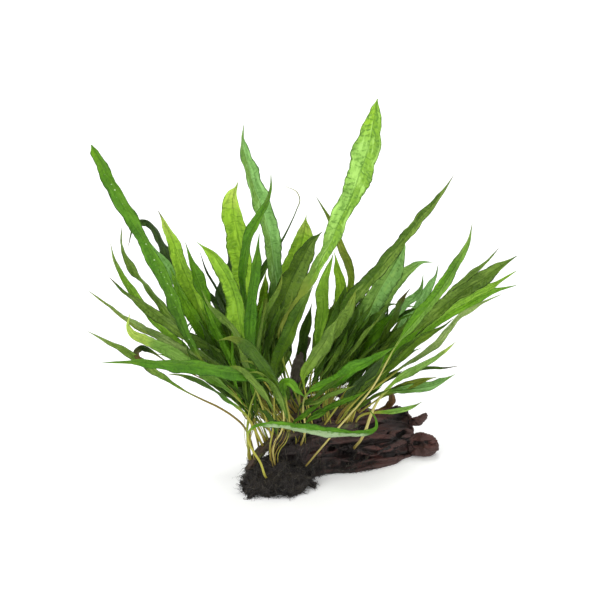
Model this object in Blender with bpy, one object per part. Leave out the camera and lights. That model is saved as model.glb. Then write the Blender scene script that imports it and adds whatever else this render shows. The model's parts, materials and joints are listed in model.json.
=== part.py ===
"""A narrow-leaved java fern that grows on a piece of driftwood, as separate solids.

Lengths in the tables are millimetres and become metres when a mesh is made; +Z is up.
The origin is on the flat face under the wood. The viewer looks along +Y from 20 degrees above.
"""

import math

import bmesh
import bpy
import numpy as np
from mathutils import Vector, noise
from mathutils.bvhtree import BVHTree

MM = 0.001
GAP = 0.3
ROOM = 0.6
FEWEST_FOR_FAN = 6

# How the plant is seen from the front: a frond's route is given as it looks from there.
VIEW_TILT = math.radians(20)
VIEW_DISTANCE = 1200.0
VIEW_CENTRE_UP = 90.0

PETIOLE_RADIUS = 0.85
FRINGE_THICKNESS = 0.5
BLADE_FOLD = 0.16
TIP_HALF_WIDTH = 0.35
BASE_SEARCH = 0.22
BASE_STEPS = 900

# The log: one row for each cut across it, as x, front y, back y, height, slope and ledge.
# The slope says how far the top falls from the back edge to the front one, as a share of the height,
# and the ledge how deep the split runs in below it.
LOG_SECTIONS = (
    (-15.5, 1.0, 15.0, 13.0, 0.0, 0.2),
    (-13.5, -4.5, 23.0, 22.5, 0.0, 0.3),
    (-9.0, -7.0, 29.0, 27.0, 0.02, 0.2),
    (-3.5, -6.0, 33.5, 28.5, 0.05, 0.3),
    (2.0, -3.0, 36.5, 30.5, 0.08, 0.5),
    (7.0, 1.0, 38.5, 31.5, 0.12, 0.7),
    (12.5, 5.0, 40.5, 30.5, 0.18, 0.8),
    (18.0, 8.0, 42.0, 28.0, 0.24, 1.0),
    (23.0, 10.0, 43.5, 25.0, 0.30, 1.0),
    (28.5, 11.5, 45.5, 22.5, 0.34, 0.8),
    (34.0, 13.0, 47.0, 23.5, 0.42, 1.0),
    (39.5, 15.0, 49.0, 22.5, 0.44, 1.2),
    (44.5, 18.0, 50.0, 24.0, 0.46, 1.3),
    (49.0, 21.5, 50.5, 24.5, 0.48, 1.3),
    (53.0, 25.5, 49.5, 23.0, 0.50, 1.2),
    (55.5, 27.0, 47.5, 21.5, 0.50, 1.0),
    (57.2, 28.5, 46.0, 19.5, 0.45, 0.6),
    (58.0, 30.5, 43.5, 16.5, 0.35, 0.2),
)
LOG_END = LOG_SECTIONS[-1][0]

# One cut across the log, from its foot in front, up and over to its foot behind, as shares of its
# depth and height, and how far each point sinks where the wood has split.
LOG_OUTLINE = (
    (0.02, 0.00, 0.0), (-0.01, 0.14, 0.0), (0.03, 0.28, 0.0), (0.00, 0.40, 0.0), (0.02, 0.47, 1.0),
    (0.03, 0.53, 0.9), (-0.02, 0.60, 0.0), (0.03, 0.78, 0.0), (0.12, 0.92, 0.0), (0.22, 0.90, 0.3),
    (0.31, 0.99, 0.0), (0.42, 0.95, 0.4), (0.53, 1.02, 0.0), (0.66, 0.97, 0.2), (0.78, 1.03, 0.0),
    (0.90, 0.95, 0.0), (0.98, 0.80, 0.0), (0.95, 0.62, 0.3), (1.02, 0.45, 0.0), (0.97, 0.22, 0.0),
    (0.99, 0.00, 0.0), (0.66, 0.00, 0.0), (0.33, 0.00, 0.0),
)
SPLIT_DEPTH = 4.0
LOG_UNEVENNESS = 0.2
LOG_RIDGES = 0.03
END_STAGGER = 3.0

# The forks of the wood: centre of each cut, its two radii, from the log outwards.
END_KNOB = (
    ((LOG_END + GAP, 34.5, 5.0), 5.4, 5.2),
    ((61.0, 34.0, 5.2), 5.8, 6.0),
    ((64.5, 33.2, 5.3), 6.2, 6.4),
    ((67.5, 32.8, 5.2), 5.6, 5.8),
    ((69.6, 32.5, 5.0), 3.9, 4.2),
    ((70.6, 32.5, 5.0), 2.0, 2.2),
)
PRONG = (
    ((LOG_END + GAP, 38.5, 15.0), 2.7, 2.5),
    ((60.0, 38.0, 16.3), 2.4, 2.2),
    ((61.8, 37.2, 18.0), 1.9, 1.8),
    ((63.3, 36.6, 19.8), 1.6, 1.4),
    ((64.6, 36.0, 21.4), 0.8, 0.8),
)
BRANCH = (
    ((-4.5, 17.0, 22.0), 6.5, 6.0),
    ((-4.0, 17.5, 30.0), 5.2, 5.0),
    ((-3.5, 18.5, 38.0), 4.0, 4.2),
    ((-2.0, 20.0, 46.0), 3.2, 3.4),
    ((-0.8, 21.0, 53.0), 2.8, 2.8),
    ((1.0, 22.5, 60.0), 2.6, 2.4),
    ((3.0, 23.5, 65.0), 2.4, 1.8),
    ((4.4, 24.0, 67.5), 1.1, 0.9),
)
FORK_SIDES = 9

# The mat of roots round the left end of the wood: reach from its middle, in eight directions.
MAT_MIDDLE = (-12.5, -8.0)
MAT_REACH = (20.0, 15.0, 13.0, 17.0, 18.0, 18.5, 17.0, 20.0)
MAT_LAYERS = ((0.0, 0.96), (2.5, 1.0), (6.5, 0.97), (10.5, 0.86), (13.5, 0.62), (15.6, 0.36))
MAT_SIDES = 22

# The rhizomes creep over the wood, as points along their middles.
RHIZOMES = {
    "front": ((-26, -12, 11), (-21, -9, 17.5), (-13, -7.5, 25), (-2, -5, 28), (10, -0.5, 29), (21, 4, 28.5),
              (29, 8, 26.5)),
    "middle": ((-17, 6, 26), (-10, 6, 29.5), (2, 7.5, 32), (13, 13.5, 32), (25, 18.5, 28.5), (32, 21, 26)),
    "back": ((-16, 26, 26), (-6, 30, 29.5), (8, 33, 32), (20, 36, 30), (30, 39, 26), (36, 41, 24)),
}
RHIZOME_RADIUS = 2.4
RHIZOME_SIDES = 8
RHIZOME_POINTS = 16

WOOD_COLOUR = (0.07, 0.032, 0.028)
WEATHERED_COLOUR = (0.10, 0.08, 0.06)
ROOT_COLOUR = (0.02, 0.016, 0.014)
RHIZOME_COLOUR = (0.09, 0.06, 0.03)
TONES = {
    "lime": (0.40, 0.60, 0.08),
    "light": (0.25, 0.52, 0.11),
    "mid": (0.10, 0.32, 0.03),
    "deep": (0.05, 0.22, 0.02),
    "dark": (0.03, 0.11, 0.012),
    "olive": (0.13, 0.20, 0.05),
    "grey": (0.16, 0.27, 0.12),
}

# The fronds, from the rhizome to the tip: where each starts, as a rhizome and the x of its base or as
# a place on the wood or roots; how far forward or back it leans at its middle and its tip; its width
# as seen; how far its blade turns away from the viewer; its tone; and its route, as x and height in
# the front view. The start of the blade and its widest place are shares of the length.
FRONDS = {
    "left_long": (("front", -11), (-22, -30), 7.0, 32, "mid", 0.3, 0.55,
                  ((-32.5, 40), (-47.5, 57.5), (-56.5, 72.5), (-63.5, 90), (-71.5, 106), (-80, 121.5),
                   (-90, 139), (-98.5, 156), (-103, 166))),
    "left_bright": (("middle", -10), (6, 2), 5.5, -35, "light", 0.3, 0.5,
                    ((-30, 47.5), (-45, 70), (-52.5, 84), (-64, 102), (-70, 111), (-76, 120))),
    "left_arch": (("back", -12), (28, 32), 4.8, 38, "dark", 0.3, 0.5,
                  ((-27, 52), (-42.5, 72), (-57.5, 95), (-64.5, 109), (-69.5, 120), (-75, 128), (-79, 129.5),
                   (-83, 126.5), (-85.5, 118.5))),
    "left_lime": (("middle", -6.5), (2, -6), 8.0, 28, "light", 0.35, 0.45,
                  ((-32.5, 50), (-45, 71), (-54, 92.5), (-62, 111), (-67.5, 126), (-71, 134))),
    "left_inner": (("front", -5), (-13, -20), 5.5, -38, "mid", 0.35, 0.45,
                   ((-30, 52.5), (-42, 75), (-49, 95), (-55, 112.5), (-57, 118))),
    "left_wavy": (("back", -15.5), (24, 24), 4.4, 35, "olive", 0.35, 0.5,
                  ((-27, 48), (-45, 62), (-65, 83), (-75, 95), (-86, 111), (-89, 120), (-88.5, 126))),
    "left_yellow": (("middle", -13), (12, 14), 4.4, -30, "light", 0.3, 0.55,
                    ((-30, 42), (-45, 56), (-60, 68), (-72.5, 79), (-80, 88.5), (-91.5, 109), (-93, 117))),
    "left_dark_low": (("middle", -15.5), (0, -6), 6.0, 30, "dark", 0.3, 0.5,
                      ((-27.5, 47.5), (-42.5, 65), (-60, 74), (-80, 89), (-89, 95), (-94.5, 100.5))),
    "left_grey": (("front", -19.5), (-16, -20), 4.4, -25, "grey", 0.3, 0.6,
                  ((-27.5, 38), (-42.5, 53), (-64, 67), (-85, 79), (-95, 86.5), (-105, 94))),
    "left_low_pale": (("front", -22), (-24, -30), 4.3, 20, "grey", 0.5, 0.5,
                      ((-27.5, 26), (-37.5, 34.5), (-57.5, 44.5), (-72.5, 54.5), (-79, 59.5), (-85, 63),
                       (-95, 68.5), (-105.5, 74))),
    "left_young": (("front", -16), (-30, -42), 4.6, -20, "light", 0.3, 0.5,
                   ((-27.5, 37), (-42.5, 50), (-55, 58), (-65, 63.5), (-75, 68), (-83.5, 72), (-86, 77),
                    (-85, 82))),
    "left_horizontal": (("front", -8), (-40, -56), 6.8, 20, "deep", 0.25, 0.45,
                        ((-8, 37), (-9.5, 45), (-15, 51), (-27.5, 53), (-42.5, 55.5), (-57.5, 58),
                         (-72.5, 59.5), (-85, 59.5), (-96.5, 59))),
    "left_small_low": (("front", -17.8), (-34, -40), 3.0, 30, "dark", 0.4, 0.5,
                       ((-27.5, 33), (-37.5, 41), (-45, 46.5), (-52.5, 50.5), (-60, 52.5), (-66, 53))),
    "lime_back": (("middle", -3.5), (18, 22), 9.5, 24, "lime", 0.3, 0.7,
                  ((-12, 38), (-21, 52), (-27.5, 65), (-29.5, 80), (-29.5, 95), (-31, 115), (-33, 125),
                   (-34.5, 133.5), (-34.5, 141), (-32, 148))),
    "tall_left": (("middle", 2.5), (10, 12), 8.0, -30, "grey", 0.3, 0.5,
                  ((-4, 42), (-8.5, 65), (-10, 90), (-11, 102.5), (-13.5, 120), (-18, 136), (-22, 145),
                   (-25, 155), (-28, 165), (-29, 170), (-28.5, 176.5))),
    "crossing_dark": (("front", -2), (-9, -16), 4.6, 42, "deep", 0.35, 0.6,
                      ((-13, 42), (-21, 60), (-26.5, 85), (-28.5, 104), (-27.5, 111), (-26, 119),
                       (-23.5, 126), (-20, 132), (-16.5, 138.5), (-14.5, 146), (-14.5, 152.5))),
    "bent_wisp": (("back", -1), (28, 26), 4.6, 30, "dark", 0.35, 0.5,
                  ((-12, 48), (-21, 70), (-23, 90), (-21.5, 97.5), (-15, 110), (-10, 118), (-5.5, 126.5),
                   (-2, 134.5), (0, 140), (-2, 144.5), (-6.5, 146.5))),
    "tall_main": (("front", 4), (-8, -8), 11.5, 12, "light", 0.3, 0.75,
                  ((-1, 40), (-6, 52), (-9.5, 66), (-7, 79), (-1.5, 89), (4, 99), (9, 109), (14, 117.5),
                   (18, 127), (25, 141), (31, 157.5), (34, 166), (35.5, 175), (37, 182.5), (38, 189))),
    "behind_tall": (("back", 10), (44, 46), 4.0, -35, "olive", 0.35, 0.35,
                    ((12.5, 50), (17.5, 70), (19.5, 85), (22.5, 91.5), (25, 97.5), (24.5, 105), (22, 112.5),
                     (19, 120), (15.5, 129), (12, 135), (8.5, 141))),
    "centre_dark": (("middle", -0.5), (6, 14), 12.5, 0, "dark", 0.35, 0.45,
                    ((-9, 42), (-16, 54), (-17.5, 65), (-15.5, 72), (-12.5, 80), (-9, 88), (-5, 96),
                     (-1, 104.5), (4, 113), (9, 121), (13, 124.5))),
    "lime_small": (("back", 4.5), (40, 42), 9.5, -28, "lime", 0.4, 0.6,
                   ((-2, 52), (-8, 72), (-8.5, 90), (-5.5, 106), (-2.5, 112), (0, 118.5), (2, 125),
                    (3.5, 131.5))),
    "left_fold_lime": (("front", 1), (-12, -12), 8.0, 34, "light", 0.4, 0.5,
                       ((-14, 44), (-26, 62), (-30, 80), (-32, 91), (-37, 102.5), (-41, 108), (-45, 113.5),
                        (-49, 117.5))),
    "back_dark_left": (("back", -8.5), (44, 50), 7.5, 36, "dark", 0.35, 0.5,
                       ((-27.5, 58), (-35, 74), (-39, 87), (-38, 93.5), (-36, 101), (-35, 109), (-36, 114.5))),
    "left_edge_dark": (("back", -5), (32, 34), 4.6, -42, "dark", 0.35, 0.5,
                       ((-25, 57.5), (-32.5, 72.5), (-37.5, 80), (-42, 87), (-46, 93), (-50, 99))),
    "grey_stripe": (("front", -13.5), (-26, -36), 3.8, 38, "grey", 0.35, 0.5,
                    ((-19, 37), (-26.5, 58), (-29, 66.5), (-31.5, 73), (-36, 78.5), (-41, 83.5),
                     (-46, 88.5), (-49, 94.5))),
    "front_fold": ((-11.5, -12, 8), (-30, -46), 7.5, 24, "mid", 0.5, 0.5,
                   ((-13, 10.5), (-13.5, 16), (-12, 20), (-9.5, 24), (-8, 32), (-10, 41), (-14.5, 51.5),
                    (-18.5, 57.5), (-22.5, 63), (-26.5, 67.5), (-31.5, 70.5), (-37, 71), (-40, 70))),
    "vertical_mid": ((-25, -8, 8), (-22, -14), 5.0, -32, "mid", 0.4, 0.5,
                     ((-25.5, 15), (-26.5, 22), (-26, 30), (-25, 36), (-21.5, 49), (-24, 57.5),
                      (-25.5, 72.5), (-25, 84), (-24, 95), (-23, 105), (-21.5, 114), (-20.5, 121))),
    "under_tall": ((-14, -10, 9), (-18, -30), 7.5, 30, "grey", 0.45, 0.5,
                   ((-15, 15), (-14.5, 20), (-13.5, 25), (-13, 31), (-13, 45), (-13, 54), (-11, 61),
                    (-7, 70), (-3, 79), (1.5, 87.5), (6, 96))),
    "bright_mid": (("middle", 8.5), (6, 8), 7.0, 25, "deep", 0.4, 0.5,
                   ((5, 48), (8, 62), (10, 75), (11, 90), (10.5, 97), (12.5, 105), (14.5, 112))),
    "light_mid": (("back", 13.5), (32, 34), 5.0, 30, "light", 0.4, 0.5,
                  ((14, 55), (18, 79), (19, 86), (20.5, 92.5), (20, 99), (18, 106), (16, 113))),
    "right_long_dark": (("front", 14), (-4, -12), 8.5, 20, "olive", 0.3, 0.3,
                        ((13, 48), (17.5, 67.5), (22, 84.5), (27.5, 91.5), (33, 98), (39, 105), (45, 112),
                         (51, 119.5), (56, 126), (62, 133.5), (68, 139), (73, 145.5), (77, 151.5))),
    "right_broad": (("middle", 12.5), (20, 30), 11.0, -20, "mid", 0.35, 0.5,
                    ((20, 52), (28.5, 72.5), (32.5, 81), (36.5, 89), (41, 97.5), (45.5, 105), (49.5, 112.5),
                     (52.5, 121))),
    "right_arch": (("back", 17.5), (46, 54), 5.2, 35, "light", 0.35, 0.5,
                   ((24, 54), (35, 74), (39, 81.5), (42.5, 88.5), (45.5, 94.5), (48.5, 99.5), (53, 104),
                    (58, 107.5), (63, 109.5), (67, 109))),
    "right_brown": (("middle", 16.5), (18, 18), 6.0, -30, "dark", 0.35, 0.5,
                    ((26, 49), (38.5, 68.5), (42.5, 75), (45.5, 81), (49, 87), (51.5, 91.5), (54.5, 95))),
    "right_green": (("back", 21.5), (42, 46), 4.6, 38, "mid", 0.35, 0.5,
                    ((31, 54), (45, 77.5), (49.5, 84), (54, 88.5), (58.5, 92), (61, 97), (61.5, 102))),
    "right_dark_tip": (("back", 25.5), (50, 62), 4.2, -42, "mid", 0.35, 0.5,
                       ((34, 52), (48, 74), (53, 81), (57.5, 87.5), (61.5, 93), (65, 98.5), (68.5, 103.5),
                        (69, 107))),
    "right_bright": ((1, -8, 6), (-16, -14), 6.6, 20, "deep", 0.55, 0.45,
                     ((4, 8.5), (9, 14), (14, 20), (19, 26), (26, 34), (35, 44.5), (40, 52.5), (45.5, 63),
                      (51, 71.5), (62, 84.5), (71.5, 97), (79.5, 110), (83, 116), (85, 121.5), (86, 127.5))),
    "right_far_thin": (("back", 29.5), (56, 70), 3.2, 38, "dark", 0.4, 0.5,
                       ((40, 56), (47.5, 65), (62.5, 81), (76, 94.5), (86, 103), (91.5, 107), (95, 111),
                        (99, 115.5))),
    "right_low_dark": (("front", 24), (-2, -12), 7.0, 25, "olive", 0.35, 0.5,
                       ((37.5, 52.5), (50, 67.5), (59, 76), (65, 81), (71, 86.5), (77.5, 91.5), (84, 96),
                        (91, 100), (98, 105), (105.5, 110))),
    "right_low_yellow": (("middle", 20.5), (16, 14), 5.0, -20, "light", 0.35, 0.5,
                         ((37.5, 50), (50, 65), (62, 77), (68, 81.5), (75, 86.5), (82, 90.5), (89, 94.5),
                          (96, 97.5), (106, 103.5))),
    "right_low_green": (("middle", 24.5), (28, 36), 3.8, 32, "deep", 0.35, 0.5,
                        ((37.5, 47.5), (50, 62.5), (62, 73.5), (68, 78), (75, 82.5), (82, 86.5), (89, 90.5),
                         (96, 94), (106, 97))),
    "right_low_grey": (("front", 21.5), (-14, -26), 4.4, -20, "grey", 0.35, 0.5,
                       ((32.5, 42), (44, 51), (52.5, 57.5), (61, 63), (66.5, 67), (71.5, 71.5), (75, 77),
                        (80.5, 82.5), (87, 86.5), (94, 90), (100, 92.5))),
    "right_lower_dark": (("front", 18.5), (-22, -38), 4.6, 30, "dark", 0.35, 0.5,
                         ((26, 37.5), (40, 51), (50, 60), (55, 64.5), (60, 68.5), (65.5, 72), (71, 75.5),
                          (76, 79.5))),
    "right_lower_yellow": ((24, 14, 11), (-6, -22), 3.6, -28, "olive", 0.45, 0.5,
                           ((27.5, 16.5), (30, 19.5), (32, 23), (34.5, 30), (38, 38), (44, 46), (50, 51.5),
                            (57.5, 55.5), (62.5, 58.5), (68, 62), (73.5, 65.5), (77.5, 69))),
    "right_level": (("middle", 28.5), (8, 2), 3.6, 22, "light", 0.35, 0.5,
                    ((30, 37), (36, 41), (44, 44), (51.5, 45), (59, 46), (66, 47), (72.5, 50), (77, 52.5))),
    "right_lowest": (("front", 27), (6, 6), 3.2, 15, "grey", 0.35, 0.5,
                     ((30, 32), (35, 33.5), (41.5, 34), (48.5, 34.5), (55, 36), (60, 38.5))),
    "front_curl": ((-15.5, -19, 3), (-28, -24), 4.6, 5, "grey", 0.33, 0.4,
                   ((-17.5, 2), (-19.5, 8), (-22.5, 13), (-25.5, 18.5), (-26, 23), (-24, 26), (-20, 27.5),
                    (-12.5, 28), (-5, 26.5), (5, 25), (15, 24), (25, 23.5), (33, 23.5), (37, 24.5),
                    (38.5, 28), (37, 31.5), (34.5, 35.5))),
    "centre_olive": (("front", 6.5), (-18, -30), 6.6, -28, "olive", 0.4, 0.5,
                     ((4, 37.5), (2.5, 45), (1.5, 51.5), (4, 57), (8, 63), (12.5, 69), (16, 76), (19, 81))),
    "centre_bright": ((-2, 0, 15), (-26, -46), 6.2, 20, "deep", 0.4, 0.5,
                      ((1, 19), (2.5, 24), (2, 32), (1.5, 38), (4, 43.5), (10, 47), (17.5, 49.5),
                       (22, 52.5), (28, 56.5), (35, 59.5), (41.5, 63.5), (47.5, 66.5))),
    "centre_lower": (("front", 11.5), (-12, -22), 6.0, -25, "mid", 0.35, 0.5,
                     ((17.5, 35), (20.5, 39), (24.5, 43.5), (28.5, 47.5), (33, 51.5), (37, 56), (42.5, 62.5))),
    "small_front": (("front", -5.2), (-22, -36), 3.6, 0, "mid", 0.5, 0.5,
                    ((-6.5, 37), (-8.5, 45), (-8, 49.5), (-4.5, 49.5), (-2, 46.5), (2.5, 42))),
    "fill_right": (("middle", 6), (22, 14), 7.0, 20, "dark", 0.4, 0.5,
                   ((14, 50), (28, 64), (38, 74), (47, 83))),
}
ROUTE_POINTS = 400
RING_SPACING = 9.5
BEND_WEIGHT = 7.0
PETIOLE_RINGS = 3
BLADE_RINGS = 7

# Fronds that cross in the front view are kept apart in depth: the room between them, the size of the
# squares in which they are compared, and how far up from its base a frond may start to give way.
CLEARANCE = 1.6
SETTLE_ROUNDS = 90
SETTLE_CELL = 1.5
SETTLE_SAMPLES = 260
SETTLE_ACROSS = 9
FREE_FROM = 2.0
FREE_OVER = 14.0
SMOOTH_PLACES = 9
SMOOTH_WIDTH = 3.5
LEAST_MOVE = 0.35


def clear_scene():
    for thing in list(bpy.data.objects):
        bpy.data.objects.remove(thing)


def make_material(name, colour, roughness):
    material = bpy.data.materials.new(name)
    material.use_nodes = True
    shader = material.node_tree.nodes["Principled BSDF"]
    shader.inputs["Base Color"].default_value = (*colour, 1.0)
    shader.inputs["Roughness"].default_value = roughness
    shader.inputs["Metallic"].default_value = 0.0
    return material


def loft(name, rings, material):
    """A closed solid through rings of points, each in millimetres, with a cap on both ends."""
    shape = bmesh.new()
    loops = [[shape.verts.new(Vector(point) * MM) for point in ring] for ring in rings]
    for low, high in zip(loops, loops[1:]):
        for k in range(len(low)):
            after = (k + 1) % len(low)
            shape.faces.new((low[k], low[after], high[after], high[k]))
    for end in (loops[0][::-1], loops[-1]):
        if len(end) < FEWEST_FOR_FAN:
            shape.faces.new(end)
            continue
        middle = shape.verts.new(sum((vert.co for vert in end), Vector()) / len(end))
        for k in range(len(end)):
            shape.faces.new((end[k], end[(k + 1) % len(end)], middle))
    bmesh.ops.triangulate(shape, faces=shape.faces[:], quad_method="FIXED")
    bmesh.ops.recalc_face_normals(shape, faces=shape.faces[:])
    mesh = bpy.data.meshes.new(name)
    shape.to_mesh(mesh)
    shape.free()
    mesh.materials.append(material)
    solid = bpy.data.objects.new(name, mesh)
    bpy.context.scene.collection.objects.link(solid)
    return solid


def room_for(solid):
    """A hidden helper a little larger than a solid, which cuts room for it in its neighbours."""
    helper = bpy.data.objects.new(solid.name + "_room", solid.data.copy())
    for vertex in helper.data.vertices:
        vertex.co += vertex.normal * ROOM * MM
    helper.hide_render = True
    helper.display_type = "WIRE"
    bpy.context.scene.collection.objects.link(helper)
    return helper


def cut_with(solid, cutter):
    cut = solid.modifiers.new("room_for_" + cutter.name, "BOOLEAN")
    cut.operation = "DIFFERENCE"
    cut.object = cutter


def evaluated_tree(solid):
    return BVHTree.FromObject(solid, bpy.context.evaluated_depsgraph_get())


def log_rings():
    """The main piece: flat below, split lengthways in front, its top falling towards the viewer."""
    rings = []
    for number, (x, front, back, height, slope, ledge) in enumerate(LOG_SECTIONS):
        depth = back - front
        from_end = min(number, len(LOG_SECTIONS) - 1 - number)
        stagger = END_STAGGER * min(from_end / 4, 1.0)
        ring = []
        for k, (across, upward, sink) in enumerate(LOG_OUTLINE):
            fall = 1.0 - slope * (1.0 - across)
            turn = 2.0 * math.pi * (across + upward)
            grain = noise.noise(Vector((x * 0.055, 3.1 * across, 3.1 * upward)))
            knot = noise.noise(Vector((x * 0.16, math.cos(turn) * 2.0 + 7.0, upward * 3.0)))
            swell = LOG_UNEVENNESS * (1.2 * grain + 0.5 * knot) + LOG_RIDGES * (-1) ** k
            y = front + depth * (across + 0.45 * swell * (0.5 - across)) + SPLIT_DEPTH * sink * ledge
            z = height * upward * fall * (1.0 + swell)
            if across > 0.15:
                z -= SPLIT_DEPTH * 0.5 * sink * ledge
            ring.append((x + stagger * swell * upward, y, max(z, 0.0)))
        rings.append(ring)
    return rings


def fork_rings(sections, seed, floor=-math.inf):
    """Uneven rings along a fork of the wood, each square to the way it runs.

    A fork that starts at the end of the log starts flat, against the flat end there.
    """
    centres = [Vector(section[0]) for section in sections]
    rings = []
    for n, (_, wide, high) in enumerate(sections):
        way = (centres[min(n + 1, len(centres) - 1)] - centres[max(n - 1, 0)]).normalized()
        if n == 0 and sections[0][0][0] > LOG_END:
            way = Vector((1, 0, 0))
        side = way.cross(Vector((0, 1, 0))).normalized()
        other = side.cross(way)
        ring = []
        for k in range(FORK_SIDES):
            angle = 2 * math.pi * k / FORK_SIDES
            place = Vector((n * 0.35 + seed, math.cos(angle) * 1.7, math.sin(angle) * 1.7))
            lump = 1.0 + 0.22 * noise.noise(place) + 0.06 * (-1) ** k
            point = centres[n] + side * (wide * lump * math.cos(angle)) + other * (high * lump * math.sin(angle))
            point.z = max(point.z, floor)
            ring.append(point)
        rings.append(ring)
    return rings


def mat_rings():
    """A low mound of packed roots, flat below, wider than it is high."""
    rings = []
    for layer, (height, share) in enumerate(MAT_LAYERS):
        ring = []
        for k in range(MAT_SIDES):
            turn = k / MAT_SIDES
            step, blend = divmod(turn * len(MAT_REACH), 1.0)
            step = int(step)
            reach = MAT_REACH[step] * (1 - blend) + MAT_REACH[(step + 1) % len(MAT_REACH)] * blend
            angle = 2 * math.pi * turn
            place = Vector((math.cos(angle) * 3.4, math.sin(angle) * 3.4, layer * 0.8))
            lump = 1.0 + 0.26 * noise.noise(place) + 0.035 * (-1) ** (k + layer)
            x = MAT_MIDDLE[0] + reach * share * lump * math.cos(angle)
            y = MAT_MIDDLE[1] + reach * share * lump * math.sin(angle)
            ring.append((x, y, height))
        rings.append(ring)
    return rings


def smooth_line(points, count):
    """Evenly spaced points on a smooth curve through the given ones."""
    points = np.asarray(points, dtype=float)
    padded = np.vstack((2 * points[0] - points[1], points, 2 * points[-1] - points[-2]))
    knots = np.zeros(len(padded))
    for n in range(1, len(padded)):
        knots[n] = knots[n - 1] + max(np.linalg.norm(padded[n] - padded[n - 1]), 1e-6) ** 0.5
    dense = []
    for n in range(1, len(padded) - 2):
        p0, p1, p2, p3 = padded[n - 1:n + 3]
        t0, t1, t2, t3 = knots[n - 1:n + 3]
        for t in np.linspace(t1, t2, 16, endpoint=False):
            a1 = (t1 - t) / (t1 - t0) * p0 + (t - t0) / (t1 - t0) * p1
            a2 = (t2 - t) / (t2 - t1) * p1 + (t - t1) / (t2 - t1) * p2
            a3 = (t3 - t) / (t3 - t2) * p2 + (t - t2) / (t3 - t2) * p3
            b1 = (t2 - t) / (t2 - t0) * a1 + (t - t0) / (t2 - t0) * a2
            b2 = (t3 - t) / (t3 - t1) * a2 + (t - t1) / (t3 - t1) * a3
            dense.append((t2 - t) / (t2 - t1) * b1 + (t - t1) / (t2 - t1) * b2)
    dense.append(points[-1])
    return even_points(np.array(dense), count)


def even_points(line, count):
    lengths = np.concatenate(([0.0], np.cumsum(np.linalg.norm(np.diff(line, axis=0), axis=1))))
    wanted = np.linspace(0.0, lengths[-1], count)
    return np.stack([np.interp(wanted, lengths, line[:, axis]) for axis in range(line.shape[1])], axis=1)


def lie_on(line, wood):
    """The same line, lifted wherever the wood stands higher than the underside of a rhizome."""
    lifted = line.copy()
    for n, (x, y, _) in enumerate(line):
        for dx in (-2.0, 0.0, 2.0):
            for dy in (-2.0, 0.0, 2.0):
                found = wood.ray_cast(Vector((x + dx, y + dy, 80.0)) * MM, Vector((0, 0, -1)))
                if found[0] is not None:
                    rest = found[0].z / MM + GAP + RHIZOME_RADIUS * (0.95 if dx == dy == 0 else 0.6)
                    lifted[n, 2] = max(lifted[n, 2], rest)
    return lifted


def rhizome_rings(line):
    """A creeping stem, knobbly where old fronds stood."""
    rings = []
    for n, centre in enumerate(line):
        way = Vector(line[min(n + 1, len(line) - 1)] - line[max(n - 1, 0)]).normalized()
        side = way.cross(Vector((0, 0, 1))).normalized()
        up = side.cross(way)
        end = 0.55 if n in (0, len(line) - 1) else 1.0
        ring = []
        for k in range(RHIZOME_SIDES):
            angle = 2 * math.pi * (k + 0.5) / RHIZOME_SIDES
            lump = 1.0 + 0.12 * math.sin(2.1 * n + 1.7 * k)
            radius = RHIZOME_RADIUS * lump * end
            ring.append(Vector(centre) + side * radius * math.cos(angle) + up * radius * math.sin(angle))
        rings.append(ring)
    return rings


# The front view: x to the right, up in the picture plane through the origin, away along the view.
VIEW_UP = np.array((0.0, math.sin(VIEW_TILT), math.cos(VIEW_TILT)))
VIEW_AWAY = np.array((0.0, math.cos(VIEW_TILT), -math.sin(VIEW_TILT)))


def away_at(up, y):
    """How far along the view a point lies, from its height in the picture and its world y."""
    slope = (up - VIEW_CENTRE_UP) * math.sin(VIEW_TILT) / VIEW_DISTANCE
    return (y - up * math.sin(VIEW_TILT)) / (math.cos(VIEW_TILT) + slope)


def to_world(x, up, away):
    spread = 1.0 + away / VIEW_DISTANCE
    height = VIEW_CENTRE_UP + (up - VIEW_CENTRE_UP) * spread
    return np.outer(height, VIEW_UP) + np.outer(away, VIEW_AWAY) + np.outer(x * spread, (1.0, 0.0, 0.0))


def to_view(point):
    point = np.asarray(point, dtype=float)
    away = point @ VIEW_AWAY
    spread = 1.0 + away / VIEW_DISTANCE
    return point[0] / spread, VIEW_CENTRE_UP + (point @ VIEW_UP - VIEW_CENTRE_UP) / spread, away


class Frond:
    """One frond's route in the front view, its widths along it, and how far back each place lies."""

    PLACES = 44

    def __init__(self, name, rhizomes, start, lean, width, turn, tone, blade_from, widest, route):
        self.name = name
        self.tone = tone
        self.turn = math.radians(turn)
        self.blade_from = blade_from
        self.widest = widest
        self.width = width / math.cos(self.turn)
        if isinstance(start[0], str):
            line = rhizomes[start[0]]
            base = np.array([np.interp(start[1], line[:, 0], line[:, axis]) for axis in range(3)])
        else:
            base = np.array(start, dtype=float)
        x, up, _ = to_view(base)
        flat = smooth_line(((x, up), *route), self.PLACES)
        share = np.linspace(0.0, 1.0, self.PLACES)
        middle, tip = lean
        bend = 2 * (base[1] + tip - 2 * middle)
        y = base[1] + (tip - base[1]) * share + bend * (share ** 2 - share)
        self.x = flat[:, 0]
        self.up = flat[:, 1]
        self.away = away_at(self.up, y)
        self.share = share

    def half_width(self, share):
        """Half the blade's width, or the petiole's radius below it."""
        along = np.clip((share - self.blade_from) / (1.0 - self.blade_from), 0.0, 1.0)
        taper = 0.8
        rise = taper * self.widest / (1.0 - self.widest)
        shape = (along / self.widest) ** rise * ((1.0 - along) / (1.0 - self.widest)) ** taper
        petiole = PETIOLE_RADIUS * np.clip(1.15 - 0.5 * share, 0.5, 1.0) * (1.0 - along)
        return np.maximum(shape * self.width / 2, petiole)

    def line(self):
        return to_world(self.x, self.up, self.away)


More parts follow.
